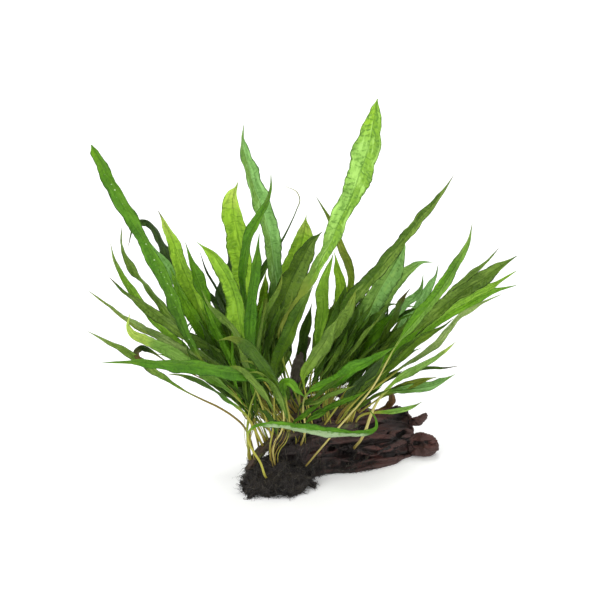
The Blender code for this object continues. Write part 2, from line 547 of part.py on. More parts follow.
def settle(fronds):
    """Move each frond nearer or farther along the view until it clears those that it crosses."""
    owner, place, cell, near, far = [], [], [], [], []
    for number, frond in enumerate(fronds):
        dense = np.linspace(0.0, 1.0, SETTLE_SAMPLES)
        x = np.interp(dense, frond.share, frond.x)
        up = np.interp(dense, frond.share, frond.up)
        away = np.interp(dense, frond.share, frond.away)
        half = frond.half_width(dense)
        slope = np.gradient(np.stack((x, up), axis=1), axis=0)
        slope /= np.linalg.norm(slope, axis=1, keepdims=True)
        seen = {}
        for lateral in np.linspace(-1.0, 1.0, SETTLE_ACROSS):
            reach = half * math.cos(frond.turn) * lateral
            px = x + slope[:, 1] * reach
            pu = up - slope[:, 0] * reach
            pa = away + half * math.sin(frond.turn) * lateral
            for n in range(len(dense)):
                for dx in (-0.5, 0.5):
                    for du in (-0.5, 0.5):
                        key = (math.floor(px[n] / SETTLE_CELL + dx), math.floor(pu[n] / SETTLE_CELL + du))
                        seen.setdefault(key, []).append((pa[n], n))
        for key, found in seen.items():
            depths = [f[0] for f in found]
            owner.append(number)
            middle = sum(f[1] for f in found) / len(found)
            place.append(round(middle / (SETTLE_SAMPLES - 1) * (Frond.PLACES - 1)))
            cell.append(key)
            near.append(min(depths))
            far.append(max(depths))
    owner, place = np.array(owner), np.array(place)
    near, far = np.array(near), np.array(far)
    by_cell = {}
    for n, key in enumerate(cell):
        by_cell.setdefault(key, []).append(n)
    first, second = [], []
    for members in by_cell.values():
        for a in range(len(members)):
            for b in range(a + 1, len(members)):
                first.append(members[a])
                second.append(members[b])
    first, second = np.array(first), np.array(second)
    pair = owner[first] * len(fronds) + owner[second]
    apart = (near + far)[second] - (near + far)[first]
    total = np.zeros(len(fronds) ** 2)
    np.add.at(total, pair, apart)
    behind = np.where(total[pair] >= 0, 1.0, -1.0)
    offset = np.zeros((len(fronds), Frond.PLACES))
    along = np.stack([f.share * np.sum(np.hypot(np.diff(f.x), np.diff(f.up))) for f in fronds])
    free = np.clip((along - FREE_FROM) / FREE_OVER, 0.0, 1.0)
    kernel = np.exp(-0.5 * (np.arange(-SMOOTH_PLACES, SMOOTH_PLACES + 1) / SMOOTH_WIDTH) ** 2)
    kernel /= kernel.sum()

    def smooth(rows):
        padded = np.pad(rows, ((0, 0), (SMOOTH_PLACES, SMOOTH_PLACES)), mode="edge")
        return np.stack([np.convolve(row, kernel, mode="valid") for row in padded])

    for _ in range(SETTLE_ROUNDS):
        low = near + offset[owner, place]
        high = far + offset[owner, place]
        space = np.where(behind > 0, low[second] - high[first], low[first] - high[second])
        short = np.clip(CLEARANCE - space, 0.0, None) * behind
        push = np.zeros_like(offset)
        pull = np.zeros_like(offset)
        np.maximum.at(push, (owner[second], place[second]), short)
        np.minimum.at(pull, (owner[second], place[second]), short)
        np.maximum.at(push, (owner[first], place[first]), -short)
        np.minimum.at(pull, (owner[first], place[first]), -short)
        move = 0.5 * (push + pull)
        spread = smooth(move)
        size = np.maximum(np.abs(spread), LEAST_MOVE * np.abs(move))
        offset += size * np.sign(spread + 1e-9 * move) * free
        offset = 0.5 * (smooth(offset) + offset)
        offset *= np.where(free > 0, 1.0, 0.0)
    for number, frond in enumerate(fronds):
        frond.away = frond.away + offset[number]


def ring_at(centre, way, half, turn, fold):
    """Four points round a frond: left edge, upper rib, right edge, lower rib."""
    facing = Vector(-VIEW_AWAY)
    side = way.cross(facing).normalized()
    face = side.cross(way).normalized()
    across = side * math.cos(turn) + face * math.sin(turn)
    out = across.cross(way).normalized()
    thick = max(FRINGE_THICKNESS, min(half, PETIOLE_RADIUS))
    lift = out * (half * fold)
    return [centre - across * half + lift, centre + out * thick, centre + across * half + lift,
            centre - out * thick]


def frond_ring(frond, route, shares, share):
    """The ring of a frond at one share of its length."""
    places = (share, min(share + 0.01, 1.0), max(share - 0.01, shares[0]))
    centre, ahead, back = (Vector([np.interp(s, shares, route[:, axis]) for axis in range(3)]) for s in places)
    half = max(float(frond.half_width(np.array([share]))[0]), TIP_HALF_WIDTH)
    on_blade = min(max((share - frond.blade_from) * 8, 0.0), 1.0)
    return ring_at(centre, (ahead - back).normalized(), half, frond.turn * on_blade, BLADE_FOLD * on_blade)


def base_share(frond, route, shares, carriers):
    """The share of its length where a frond's petiole meets what it grows from."""
    for share in np.linspace(BASE_SEARCH, 0.0, BASE_STEPS):
        for corner in frond_ring(frond, route, shares, share):
            for tree in carriers:
                found = tree.find_nearest(corner * MM, 4 * MM)
                if found[0] is not None and found[3] < GAP * MM:
                    return share + BASE_SEARCH / BASE_STEPS
    return 0.0


def ring_stations(route, shares, first, last, fewest):
    """Shares of a frond's length for its rings: closer together where it bends."""
    inside = (shares >= first) & (shares <= last)
    steps = np.diff(route[inside], axis=0)
    lengths = np.linalg.norm(steps, axis=1)
    ways = steps / lengths[:, None]
    bends = np.zeros(len(lengths))
    bends[1:] = np.linalg.norm(np.diff(ways, axis=0), axis=1)
    measure = np.concatenate(([0.0], np.cumsum(lengths + BEND_WEIGHT * bends)))
    count = max(fewest, round(measure[-1] / RING_SPACING))
    return np.interp(np.linspace(0.0, measure[-1], count + 1), measure, np.linspace(first, last, len(measure)))


def make_frond(frond, carriers, material):
    """A petiole that widens into a long thin blade, folded a little along its rib."""
    route = smooth_line(frond.line(), ROUTE_POINTS)
    shares = np.linspace(0.0, 1.0, ROUTE_POINTS)
    base = base_share(frond, route, shares, carriers)
    blade = max(frond.blade_from, base + 0.05)
    stations = np.concatenate((ring_stations(route, shares, base, blade, PETIOLE_RINGS)[:-1],
                               ring_stations(route, shares, blade, 1.0, BLADE_RINGS)))
    rings = [frond_ring(frond, route, shares, share) for share in stations]
    return loft("frond_" + frond.name, rings, material)


def build():
    clear_scene()
    wood = make_material("driftwood", WOOD_COLOUR, 0.85)
    grey_wood = make_material("weathered_driftwood", WEATHERED_COLOUR, 0.9)
    roots = make_material("root_mat", ROOT_COLOUR, 0.95)
    stem = make_material("rhizome", RHIZOME_COLOUR, 0.8)

    log = loft("driftwood_log", log_rings(), wood)
    log_room = room_for(log)
    loft("driftwood_end_knob", fork_rings(END_KNOB, 3.1, floor=0.0), wood)
    loft("driftwood_prong", fork_rings(PRONG, 8.4), wood)
    branch = loft("driftwood_branch", fork_rings(BRANCH, 5.7), grey_wood)
    branch_room = room_for(branch)
    cut_with(branch, log_room)
    mat = loft("root_mat", mat_rings(), roots)
    cut_with(mat, log_room)
    carriers = [log, mat]
    bpy.context.view_layer.update()
    wood_tree = evaluated_tree(log)
    lines = {}
    for place, points in RHIZOMES.items():
        lines[place] = lie_on(smooth_line(points, RHIZOME_POINTS), wood_tree)
        rhizome = loft("rhizome_" + place, rhizome_rings(lines[place]), stem)
        cut_with(rhizome, log_room)
        cut_with(rhizome, branch_room)
        carriers.append(rhizome)
        if place == "front":
            cut_with(mat, room_for(rhizome))

    bpy.context.view_layer.update()
    trees = [evaluated_tree(solid) for solid in carriers]
    fronds = [Frond(name, lines, *row) for name, row in FRONDS.items()]
    settle(fronds)
    leaf = {tone: make_material("leaf_" + tone, colour, 0.45) for tone, colour in TONES.items()}
    for frond in fronds:
        make_frond(frond, trees, leaf[frond.tone])


build()
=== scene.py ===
"""A narrow-leaved java fern growing on a piece of driftwood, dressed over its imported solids."""
import json
import math

import bpy
import numpy as np
from mathutils import Matrix, Vector, noise
from mathutils.bvhtree import BVHTree


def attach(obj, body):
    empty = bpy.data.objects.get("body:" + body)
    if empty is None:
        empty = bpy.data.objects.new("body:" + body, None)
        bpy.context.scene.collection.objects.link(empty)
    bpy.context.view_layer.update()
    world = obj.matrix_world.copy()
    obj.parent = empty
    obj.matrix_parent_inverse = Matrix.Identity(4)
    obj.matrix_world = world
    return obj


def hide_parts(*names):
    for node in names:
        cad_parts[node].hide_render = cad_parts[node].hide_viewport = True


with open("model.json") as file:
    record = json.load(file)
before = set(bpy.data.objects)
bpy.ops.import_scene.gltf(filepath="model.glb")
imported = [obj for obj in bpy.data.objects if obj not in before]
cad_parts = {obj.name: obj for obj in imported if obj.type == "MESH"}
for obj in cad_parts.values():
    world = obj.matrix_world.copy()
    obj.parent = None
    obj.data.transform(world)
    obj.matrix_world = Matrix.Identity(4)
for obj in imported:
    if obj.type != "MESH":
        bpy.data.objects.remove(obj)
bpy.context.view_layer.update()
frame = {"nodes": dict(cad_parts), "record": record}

# The stand: a wide pale floor that the wood rests on, soft lights around it and the camera.
# The camera looks along +Y from 20 degrees above, and takes in 300 mm at the plant.
PICTURE_SPAN = 0.300
CAMERA_DISTANCE = 1.2
CAMERA_TILT = math.radians(20)
CAMERA_TARGET = Vector((0.0, 0.03078, 0.08457))
SENSOR = 36.0
LOOK = Vector((0.0, math.cos(CAMERA_TILT), -math.sin(CAMERA_TILT)))
UP = Vector((0.0, math.sin(CAMERA_TILT), math.cos(CAMERA_TILT)))
MM = 0.001


def pick(*pieces):
    """Selects these pieces only, the last one active."""
    bpy.ops.object.select_all(action="DESELECT")
    for piece in pieces:
        piece.select_set(True)
        bpy.context.view_layer.objects.active = piece


def aimed(thing, place):
    """Puts a light or a camera at a place, aimed at the middle of the plant."""
    thing.location = place
    thing.rotation_euler = (CAMERA_TARGET - thing.location).to_track_quat("-Z", "Y").to_euler()


bpy.ops.object.select_all(action="DESELECT")
bpy.ops.object.camera_add()
camera = bpy.context.object
camera.name = "camera"
aimed(camera, CAMERA_TARGET - LOOK * CAMERA_DISTANCE)
camera.data.sensor_width = SENSOR
camera.data.lens = SENSOR * CAMERA_DISTANCE / PICTURE_SPAN
camera.data.clip_start = 0.01
bpy.context.scene.camera = camera

for light_name, place, size, watts in (
    ("window_light", (-0.7, -1.0, 1.3), 0.8, 17.0),
    ("fill_light", (1.2, -0.8, 0.7), 0.8, 4.0),
    ("top_light", (0.1, 0.9, 1.6), 0.8, 13.0),
):
    bpy.ops.object.light_add(type="AREA")
    light = bpy.context.object
    light.name = light_name
    light.data.size = size
    light.data.energy = watts
    aimed(light, Vector(place))

world = bpy.data.worlds.new("soft_white_room")
world.use_nodes = True
world.node_tree.nodes["Background"].inputs["Color"].default_value = (1.0, 1.0, 1.0, 1.0)
world.node_tree.nodes["Background"].inputs["Strength"].default_value = 0.65
bpy.context.scene.world = world
bpy.context.scene.view_settings.view_transform = "Standard"

floor_finish = bpy.data.materials.new("pale_floor")
floor_finish.use_nodes = True
floor_shader = floor_finish.node_tree.nodes["Principled BSDF"]
floor_shader.inputs["Base Color"].default_value = (0.93, 0.93, 0.93, 1.0)
floor_shader.inputs["Roughness"].default_value = 0.9
floor_shader.inputs["Emission Color"].default_value = (1.0, 1.0, 1.0, 1.0)
floor_shader.inputs["Emission Strength"].default_value = 0.14
bpy.ops.mesh.primitive_plane_add(size=12.0)
floor = bpy.context.object
floor.name = "floor"
floor.data.materials.append(floor_finish)

# The driftwood: one waterlogged, split piece of dark reddish-brown wood with a flat underside.
# It has an end knob, a thin prong and a grey upright stub, each made from its own solid, with the
# grain, splits and pits of the real wood worked into a fine skin.
VIEW_MIDDLE = 90.0
GRAIN_WAY = Vector((0.89, 0.45, 0.0)).normalized()
CROSS_WAY = Vector((-0.45, 0.89, 0.0)).normalized()


class Finish:
    """One output in a material's nodes. Sums and products of finishes add the Math nodes for them."""

    def __init__(self, tree, made=None, output=0):
        self.tree = tree
        self.made = made
        self.socket = made.outputs[output] if made else None

    def node(self, kind, inputs=None, output=0, stops=None, **settings):
        """Adds a node: first its settings and a ramp's stops, then the values or links of its sockets."""
        made = self.tree.nodes.new(kind)
        for name, value in settings.items():
            setattr(made, name, value)
        if stops:
            ramp = made.color_ramp.elements
            while len(ramp) < len(stops):
                ramp.new(1.0)
            for element, (place, colour) in zip(ramp, stops):
                element.position = place
                element.color = (*colour, 1.0)
        for name, value in (inputs or {}).items():
            if isinstance(value, Finish):
                self.tree.links.new(value.socket, made.inputs[name])
            elif isinstance(value, tuple) and made.inputs[name].type == "RGBA":
                made.inputs[name].default_value = (*value, 1.0)
            else:
                made.inputs[name].default_value = value
        return Finish(self.tree, made, output)

    def maths(self, operation, first, second=0.0):
        return self.node("ShaderNodeMath", {0: first, 1: second}, operation=operation)

    def __add__(self, other):
        return self.maths("ADD", self, other)

    __radd__ = __add__

    def __sub__(self, other):
        return self.maths("SUBTRACT", self, other)

    def __rsub__(self, other):
        return self.maths("SUBTRACT", other, self)

    def __mul__(self, other):
        return self.maths("MULTIPLY", self, other)

    __rmul__ = __mul__

    def __mod__(self, other):
        return self.maths("FLOORED_MODULO", self, other)

    def __gt__(self, other):
        return self.maths("GREATER_THAN", self, other)

    def __abs__(self):
        return self.maths("ABSOLUTE", self)

    def rising(self, low, high):
        """From 0 at low, smoothly up to 1 at high."""
        return self.node("ShaderNodeMapRange", {"Value": self, "From Min": low, "From Max": high},
                         interpolation_type="SMOOTHSTEP")

    def mixed(self, first, second, share):
        """A colour between two others."""
        return self.node("ShaderNodeMix", {0: share, 6: first, 7: second}, output=2, data_type="RGBA")

    def place(self):
        return self.node("ShaderNodeTexCoord", output="Object")

    def noise(self, vector, scale, detail=3.0):
        return self.node("ShaderNodeTexNoise", {"Vector": vector, "Scale": scale, "Detail": detail})

    def bump(self, height, strength, distance):
        return self.node("ShaderNodeBump", {"Height": height, "Strength": strength, "Distance": distance})


def new_finish(name):
    """A new material and its Finish, with the shader left for wear() to fill."""
    material = bpy.data.materials.new(name)
    material.use_nodes = True
    return material, Finish(material.node_tree)


def wear(material, colour, roughness, normal=None, **sockets):
    """Links a finish's colour, roughness and bump to the material's shader, and sets plain sockets."""
    shader = material.node_tree.nodes["Principled BSDF"]
    for name, value in (("Base Color", colour), ("Roughness", roughness), ("Normal", normal)):
        if isinstance(value, Finish):
            material.node_tree.links.new(value.socket, shader.inputs[name])
        elif value is not None:
            shader.inputs[name].default_value = value
    for name, value in sockets.items():
        shader.inputs[name.replace("_", " ")].default_value = value


def wood_finish(name, split_shade, body, ridge, dark_end):
    """Waterlogged wood: painted shade, near black, in its splits and hollows, painted light, redder and brighter, on
    its upper faces, and near black at its rooted end.
    """
    material, new = new_finish(name)
    along_grain = new.node("ShaderNodeMapping", {
        "Vector": new.place(),
        "Rotation": (0.0, 0.0, -math.atan2(GRAIN_WAY.y, GRAIN_WAY.x)),
        "Scale": (0.12, 1.0, 1.0),
    })
    patches = new.noise(new.place(), 55.0)
    fibres = new.noise(along_grain, 900.0, 5.0)
    streaks = new.noise(along_grain, 260.0, 4.0)
    pits = new.node("ShaderNodeTexVoronoi", {"Vector": new.place(), "Scale": 520.0})
    depth = new.node("ShaderNodeAttribute", attribute_name="split_shade", output="Fac")
    facing = new.node("ShaderNodeAttribute", attribute_name="lit", output="Fac")
    # tone: grain noise, lower where the splits are deep, for their painted shade
    tone = streaks * 0.5 + fibres * 0.3 + patches * 0.25 - depth * 0.22
    colour = new.node("ShaderNodeValToRGB", {"Fac": tone}, stops=(
        (0.26, split_shade), (0.42, body), (0.54, body), (0.70, ridge)))
    # painted light: upper faces redder and brighter, in patches
    painted_light_and_shade = new.mixed(colour, tuple(c * f for c, f in zip(body, (1.8, 1.1, 1.0))),
                       patches.rising(0.36, 0.6) * facing.rising(0.2, 0.7) * 0.7)
    # painted shade: near black in the deep splits and hollows
    painted_light_and_shade = new.mixed(painted_light_and_shade, split_shade, depth.rising(0.42, 1.0) * 0.88)
    spot = new.node("ShaderNodeSeparateXYZ", {"Vector": new.place()}, output="X")
    darker = new.mixed(painted_light_and_shade, split_shade, (1.0 - spot.rising(*dark_end)) * 0.85)
    height = fibres * 0.6 + streaks * 1.0 + pits.rising(0.0, 0.35) * 0.25
    wear(material, darker, 0.42 + fibres * 0.45, new.bump(height, 0.75, 0.0007))
    return material


def copy_of(node, name):
    """The node's own form as a new piece, with its loose triangles merged."""
    piece = bpy.data.objects.new(name, frame["nodes"][node].data.copy())
    piece.data.materials.clear()
    bpy.context.scene.collection.objects.link(piece)
    pick(piece)
    bpy.ops.object.mode_set(mode="EDIT")
    bpy.ops.mesh.select_all(action="SELECT")
    bpy.ops.mesh.remove_doubles(threshold=0.00001)
    bpy.ops.object.mode_set(mode="OBJECT")
    return piece


def applied(piece, kind, **settings):
    """Adds a modifier to a piece and applies it."""
    pick(piece)
    modifier = piece.modifiers.new(kind.lower(), kind)
    for name, value in settings.items():
        setattr(modifier, name, value)
    bpy.ops.object.modifier_apply(modifier=modifier.name)


def points_of(mesh, what="co"):
    """A mesh's vertex places, or its normals, as rows of an array."""
    flat = np.empty(len(mesh.vertices) * 3)
    mesh.vertices.foreach_get(what, flat)
    return flat.reshape(-1, 3)


def moved_to(mesh, points):
    mesh.vertices.foreach_set("co", points.ravel())
    mesh.update()


def picture_of(points):
    """Where the front view shows some places: millimetres to the right and up."""
    apart = points - np.array(CAMERA_TARGET)
    spread = CAMERA_DISTANCE / (CAMERA_DISTANCE + apart @ np.array(LOOK)) / MM
    return np.stack((apart[:, 0] * spread, VIEW_MIDDLE + apart @ np.array(UP) * spread), axis=1)


def carved(points, normals, splits):
    """How deep the splits, drawn in the front view, cut at each point of the side that is seen."""
    seen = picture_of(points)
    depth = np.zeros(len(points))
    for line, size, wide in splits:
        for a, b in zip(np.array(line[:-1]), np.array(line[1:])):
            share = np.clip((seen - a) @ (b - a) / np.dot(b - a, b - a), 0.0, 1.0)
            away = np.linalg.norm(seen - a - share[:, None] * (b - a), axis=1)
            depth = np.maximum(depth, size * np.exp(-((away / wide) ** 2)))
    return depth * (normals @ np.array(LOOK) < 0.3)


def worn(piece, lumps, ridges, splits, fibre, plates=0.0, drawn=(), way=GRAIN_WAY, cross=CROSS_WAY,
         floor=True):
    """Works lumps, plates, ridges along the grain, splits and fibres into a piece, in millimetres."""
    mesh = piece.data
    points, normals = points_of(mesh), points_of(mesh, "normal")
    up = way.cross(cross)
    # lit: how far each point faces up, for the painted light on the upper faces of the wood
    split_shade, lit = np.zeros(len(points)), np.clip(normals[:, 2] * 1.1, 0.0, 1.0)
    cuts = carved(points, normals, drawn)
    for n, point in enumerate(points):
        spot = Vector(point) / MM
        run, side, rise = spot.dot(way), spot.dot(cross), spot.dot(up)
        lump = noise.noise(Vector((run * 0.06, side * 0.12, rise * 0.12)))
        ridge = 0.5 - abs(noise.noise(Vector((run * 0.035 + 3.0, side * 0.33, rise * 0.33))))
        crease = abs(noise.noise(Vector((run * 0.024 + 9.0, side * 0.16, rise * 0.2))))
        thread = noise.noise(Vector((run * 0.12, side * 1.5, rise * 1.5)))
        split = max(0.0, 1.0 - crease / 0.055)
        deep = splits * split * split
        shift = lumps * lump + ridges * (ridge - 0.35) + fibre * thread
        deep += cuts[n]
        if plates:
            bent = 0.4 * noise.noise(Vector((run * 0.09, side * 0.2, rise * 0.2)))
            distances, places = noise.voronoi(Vector((run * 0.028, side * 0.1 + bent, rise * 0.1 + bent)))
            edge = max(0.0, 1.0 - (distances[1] - distances[0]) / 0.07)
            deep += 0.7 * plates * edge * edge
            shift += plates * (noise.cell(places[0] * 9.7) - 0.5)
        flat = min(max((spot.z - 0.4) / 2.0, 0.0), 1.0) if floor else 1.0
        points[n] = np.array(point) + normals[n] * (shift - deep) * MM * flat
        # painted shade: more in deep splits, less on raised lumps
        split_shade[n] = min(max(deep * 0.6 - shift * 0.35 + 0.1, 0.0), 1.0)
    points[:, 2] = np.maximum(points[:, 2], 0.0)
    moved_to(mesh, points)
    for name, values in (("split_shade", split_shade), ("lit", lit)):
        mesh.attributes.new(name, "FLOAT", "POINT").data.foreach_set("value", values)


def sunk_in(piece, axis, limit, distance):
    """Moves the end of a fork that meets the log deeper into it, so that no seam shows."""
    points = points_of(piece.data)
    points[points[:, axis] < limit, axis] -= distance
    moved_to(piece.data, points)


def spread_foot(piece):
    """Widens the front of a piece at the floor, where the real wood is broadest, and lowers its end."""
    points = points_of(piece.data)
    foot = np.clip(1.0 - points[:, 2] / (FOOT_HEIGHT * MM), 0.0, 1.0)
    shown = np.clip((points[:, 0] / MM - 14.0) / 10.0, 0.0, 1.0)
    points[:, 1] -= FOOT_SPREAD * MM * foot * shown * (points[:, 1] < points[:, 1].mean())
    points[:, 2] *= 1.0 - TOP_DROP * np.clip((points[:, 0] / MM - 40.0) / 8.0, 0.0, 1.0)
    moved_to(piece.data, points)


FOOT_HEIGHT = 9.0
FOOT_SPREAD = 2.4
TOP_DROP = 0.08
# near black: the painted shade in the splits of the wood, and the colour of its rooted end and of the scars on the
# rhizomes
NEAR_BLACK_WOOD = (0.008, 0.005, 0.004)
RED_WOOD = (0.060, 0.024, 0.019)
RIDGE_WOOD = (0.105, 0.052, 0.042)
# the long splits of the front, each as its line in the front view, its depth and its half width
SPLITS = (
    (((15, 16), (24, 18), (36, 19), (46, 20.5), (52, 24)), 2.6, 0.9),
    (((30, 18), (37, 19.5), (41, 17), (48, 20), (52, 24.5)), 2.2, 0.7),
    (((20, 25), (28, 27), (36, 27), (43, 30)), 1.6, 0.8),
    (((12, 12), (22, 14), (32, 15), (41, 13.5), (50, 13), (60, 16)), 2.4, 1.1),
    (((2, 22), (8, 24), (16, 24.5), (25, 23)), 1.6, 1.2),
    (((22, 8.5), (32, 9.5), (42, 8.5), (50, 10.5)), 1.0, 0.6),
    (((4, 30), (10, 27), (20, 30), (30, 31)), 1.5, 0.8),
)
driftwood = wood_finish("dark_driftwood", NEAR_BLACK_WOOD, RED_WOOD, RIDGE_WOOD, (-0.004, 0.016))
weathered = wood_finish("weathered_driftwood", (0.03, 0.02, 0.014), (0.12, 0.10, 0.075), (0.26, 0.24, 0.19),
                        (-0.05, -0.04))

for node, name, voxel, end in (
    ("driftwood_log", "log", 0.6, None),
    ("driftwood_end_knob", "end_knob", 0.4, (0, 0.0595, 0.004)),
    ("driftwood_prong", "prong", 0.3, (0, 0.0595, 0.003)),
    ("driftwood_branch", "upright_stub", 0.35, (2, 0.030, 0.002)),
):
    wood = copy_of(node, name)
    if end:
        sunk_in(wood, *end)
    if node in ("driftwood_log", "driftwood_end_knob"):
        spread_foot(wood)
    applied(wood, "REMESH", mode="VOXEL", voxel_size=voxel * MM)
    if node == "driftwood_branch":
        worn(wood, 0.7, 1.6, 1.0, 0.3, way=Vector((0, 0, 1)), cross=Vector((1, 0, 0)), floor=False)
    else:
        worn(wood, 1.4, 1.9, 1.9, 0.35, plates=0.9, drawn=SPLITS if node == "driftwood_log" else ())
    bpy.ops.object.shade_smooth()
    wood.data.materials.append(weathered if node == "driftwood_branch" else driftwood)
    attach(wood, "root")
    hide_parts(node)

# The rhizomes: three brown creeping stems tied down by their own roots along the top of the wood.
# They are knobbly with the scars of old fronds, green where a frond is young.
RHIZOME_BROWN = (0.045, 0.024, 0.012)
RHIZOME_GREEN = (0.08, 0.085, 0.022)

rhizome_finish, new = new_finish("creeping_stem")
scars = new.node("ShaderNodeTexVoronoi", {"Vector": new.place(), "Scale": 330.0})
mottle = new.noise(new.place(), 260.0, 4.0)
stem_colour = new.mixed(RHIZOME_BROWN, RHIZOME_GREEN, mottle.rising(0.5, 0.66))
stem_colour = new.mixed(stem_colour, NEAR_BLACK_WOOD, 1.0 - scars.rising(0.05, 0.4))
wear(rhizome_finish, stem_colour, 0.55 + mottle * 0.3, new.bump(scars + mottle * 0.6, 0.7, 0.0005))

for place in ("front", "middle", "back"):
    stem = copy_of("rhizome_" + place, "creeping_stem_" + place)
    applied(stem, "REMESH", mode="VOXEL", voxel_size=0.3 * MM)
    worn(stem, 0.6, 0.8, 0.4, 0.3)
    bpy.ops.object.shade_smooth()
    stem.data.materials.append(rhizome_finish)
    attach(stem, "root")
    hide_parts("rhizome_" + place)

# The root mat: a near-black pad of matted hair roots round the left end of the wood, with thin
# root hairs that run over it, down the end of the log and along the log's foot.
ROOT_BLACK = (0.012, 0.009, 0.008)
ROOT_BROWN = (0.028, 0.021, 0.013)
# pale: partly the colour of pale roots, partly painted glints of the wet roots
ROOT_PALE_AND_GLINT = (0.13, 0.115, 0.085)
HAIR_RADIUS = 0.12
MAT_TRIM = 4.0

mat_finish, new = new_finish("matted_roots")
tangle = new.noise(new.place(), 1400.0, 6.0)
clumps = new.noise(new.place(), 180.0)
# black and brown tangle with pale specks, partly painted glints of the wet roots
mat_colour = new.node("ShaderNodeValToRGB", {"Fac": tangle * 0.6 + clumps * 0.4}, stops=(
    (0.44, ROOT_BLACK), (0.60, ROOT_BROWN), (0.78, ROOT_PALE_AND_GLINT)))
wear(mat_finish, mat_colour, 0.85, new.bump(tangle, 0.9, 0.001))

mat = copy_of("root_mat", "root_pad")
applied(mat, "REMESH", mode="VOXEL", voxel_size=0.6 * MM)
mesh = mat.data
points, normals = points_of(mesh), points_of(mesh, "normal")
for n, point in enumerate(points):
    spot = Vector(point) / MM
    chunk = noise.noise(spot * 0.13)
    tuft = noise.noise(spot * 0.35) + 0.6 * noise.noise(spot * 0.9) + 0.5 * noise.noise(spot * 2.1)
    points[n] += normals[n] * (3.6 * chunk + 1.5 * tuft - 1.9) * MM
trimmed = np.clip((points[:, 0] / MM + 9.0) / 12.0, 0.0, 1.0) * (points[:, 1] < points[:, 1].mean())
points[:, 1] += MAT_TRIM * MM * trimmed
points[:, 2] = np.maximum(points[:, 2], 0.0)
moved_to(mesh, points)
bpy.ops.object.shade_smooth()
mat.data.materials.append(mat_finish)
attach(mat, "root")
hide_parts("root_mat")


def hair_finish(name, colour):
    material, new = new_finish(name)
    dust = new.noise(new.place(), 700.0)
    wear(material, new.mixed(colour, tuple(c * 0.45 for c in colour), dust.rising(0.4, 0.65)), 0.4)
    return material


hair_finishes = [hair_finish("black_root", ROOT_BLACK), hair_finish("brown_root", ROOT_BROWN),
                 hair_finish("pale_root_and_glint", ROOT_PALE_AND_GLINT)]


def strands(name, starts, ways, lengths, radius, ground, hug, droop, seed, shares=(0.6, 0.3)):
    """Thin roots that wander from their starts, each drawn as a line that keeps near the ground."""
    random = np.random.default_rng(seed)
    curve = bpy.data.curves.new(name, "CURVE")
    curve.dimensions = "3D"
    curve.bevel_depth = radius * MM
    curve.bevel_resolution = 0
    curve.use_fill_caps = True
    for finish in hair_finishes:
        curve.materials.append(finish)
    for start, way, length in zip(starts, ways, lengths):
        count = max(4, round(length / 1.6))
        spot, way = Vector(start), Vector(way).normalized()
        line = []
        for step in range(count):
            line.append(spot.copy())
            way = (way + Vector(random.normal(0.0, 0.35, 3)) + Vector((0, 0, -droop))).normalized()
            spot = spot + way * (length / count) * MM
            near = ground.find_nearest(spot)
            height = (spot - near[0]).dot(near[1]) / MM
            spot += near[1] * (hug * (random.uniform(0.0, 0.7) - height)) * MM
            spot.z = max(spot.z, radius * MM)
        spline = curve.splines.new("POLY")
        spline.points.add(count - 1)
        for point, place in zip(spline.points, line):
            point.co = (*place, 1.0)
        for step, point in enumerate(spline.points):
            point.radius = 1.0 - 0.65 * step / (count - 1)
        pick_one = random.random()
        spline.material_index = 0 if pick_one < shares[0] else 1 if pick_one < sum(shares) else 2
    piece = bpy.data.objects.new(name, curve)
    bpy.context.scene.collection.objects.link(piece)
    pick(piece)
    bpy.ops.object.convert(target="MESH")
    piece = bpy.context.object
    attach(piece, "root")
    return piece


def skin_points(pieces, count, seed, keep):
    """Places spread over the skins of some pieces, with the way each faces, where keep says so."""
    random = np.random.default_rng(seed)
    places, facing = [], []
    for piece in pieces:
        mesh = piece.data
        centres = np.empty(len(mesh.polygons) * 3)
        mesh.polygons.foreach_get("center", centres)
        normals = np.empty(len(mesh.polygons) * 3)
        mesh.polygons.foreach_get("normal", normals)
        places.append(centres.reshape(-1, 3))
        facing.append(normals.reshape(-1, 3))
    places, facing = np.vstack(places), np.vstack(facing)
    kept = np.flatnonzero([keep(p / MM, f) for p, f in zip(places, facing)])
    chosen = random.choice(kept, count, replace=count > len(kept))
    return places[chosen], facing[chosen]


def ground_under(*pieces):
    """A tree of some pieces' skins, for what lies on them."""
    vertices, faces = [], []
    for piece in pieces:
        first = len(vertices)
        vertices += [vertex.co.copy() for vertex in piece.data.vertices]
        faces += [[first + v for v in face.vertices] for face in piece.data.polygons]
    return BVHTree.FromPolygons(vertices, faces)


log = bpy.data.objects["log"]
ground = ground_under(mat, log)
random = np.random.default_rng(5)

starts, facing = skin_points([mat], 1700, 1, lambda p, f: f[2] > -0.5)
ways = facing * 0.1 + random.normal(0.0, 1.0, facing.shape) * (1.0, 1.0, 0.5)
# about one hair in ten is pale: partly pale roots, partly painted glints
strands("root_hairs", starts, ways, random.uniform(4.0, 11.0, len(starts)), HAIR_RADIUS, ground, 0.95, 0.12, 2,
        shares=(0.66, 0.25))

starts, facing = skin_points([log], 750, 3, lambda p, f: p[0] < 13 and f[1] < 0.2 and p[2] > 4 and f[2] > -0.3)
ways = facing * 0.1 + random.normal(0.0, 0.35, facing.shape) + (0.0, -0.1, -0.9)
strands("end_roots", starts, ways, random.uniform(6.0, 18.0, len(starts)), HAIR_RADIUS, ground, 0.8, 0.25, 4)

stems = [bpy.data.objects["creeping_stem_" + place] for place in ("front", "middle", "back")]
stem_ground = ground_under(*stems)
starts, facing = skin_points(stems, 520, 8, lambda p, f: f[2] < 0.8)
ways = facing * 0.1 + random.normal(0.0, 0.5, facing.shape) + (0.0, -0.15, -0.6)
strands("stem_roots", starts, ways, random.uniform(3.0, 9.0, len(starts)), HAIR_RADIUS, stem_ground, 0.8, 0.2, 9)

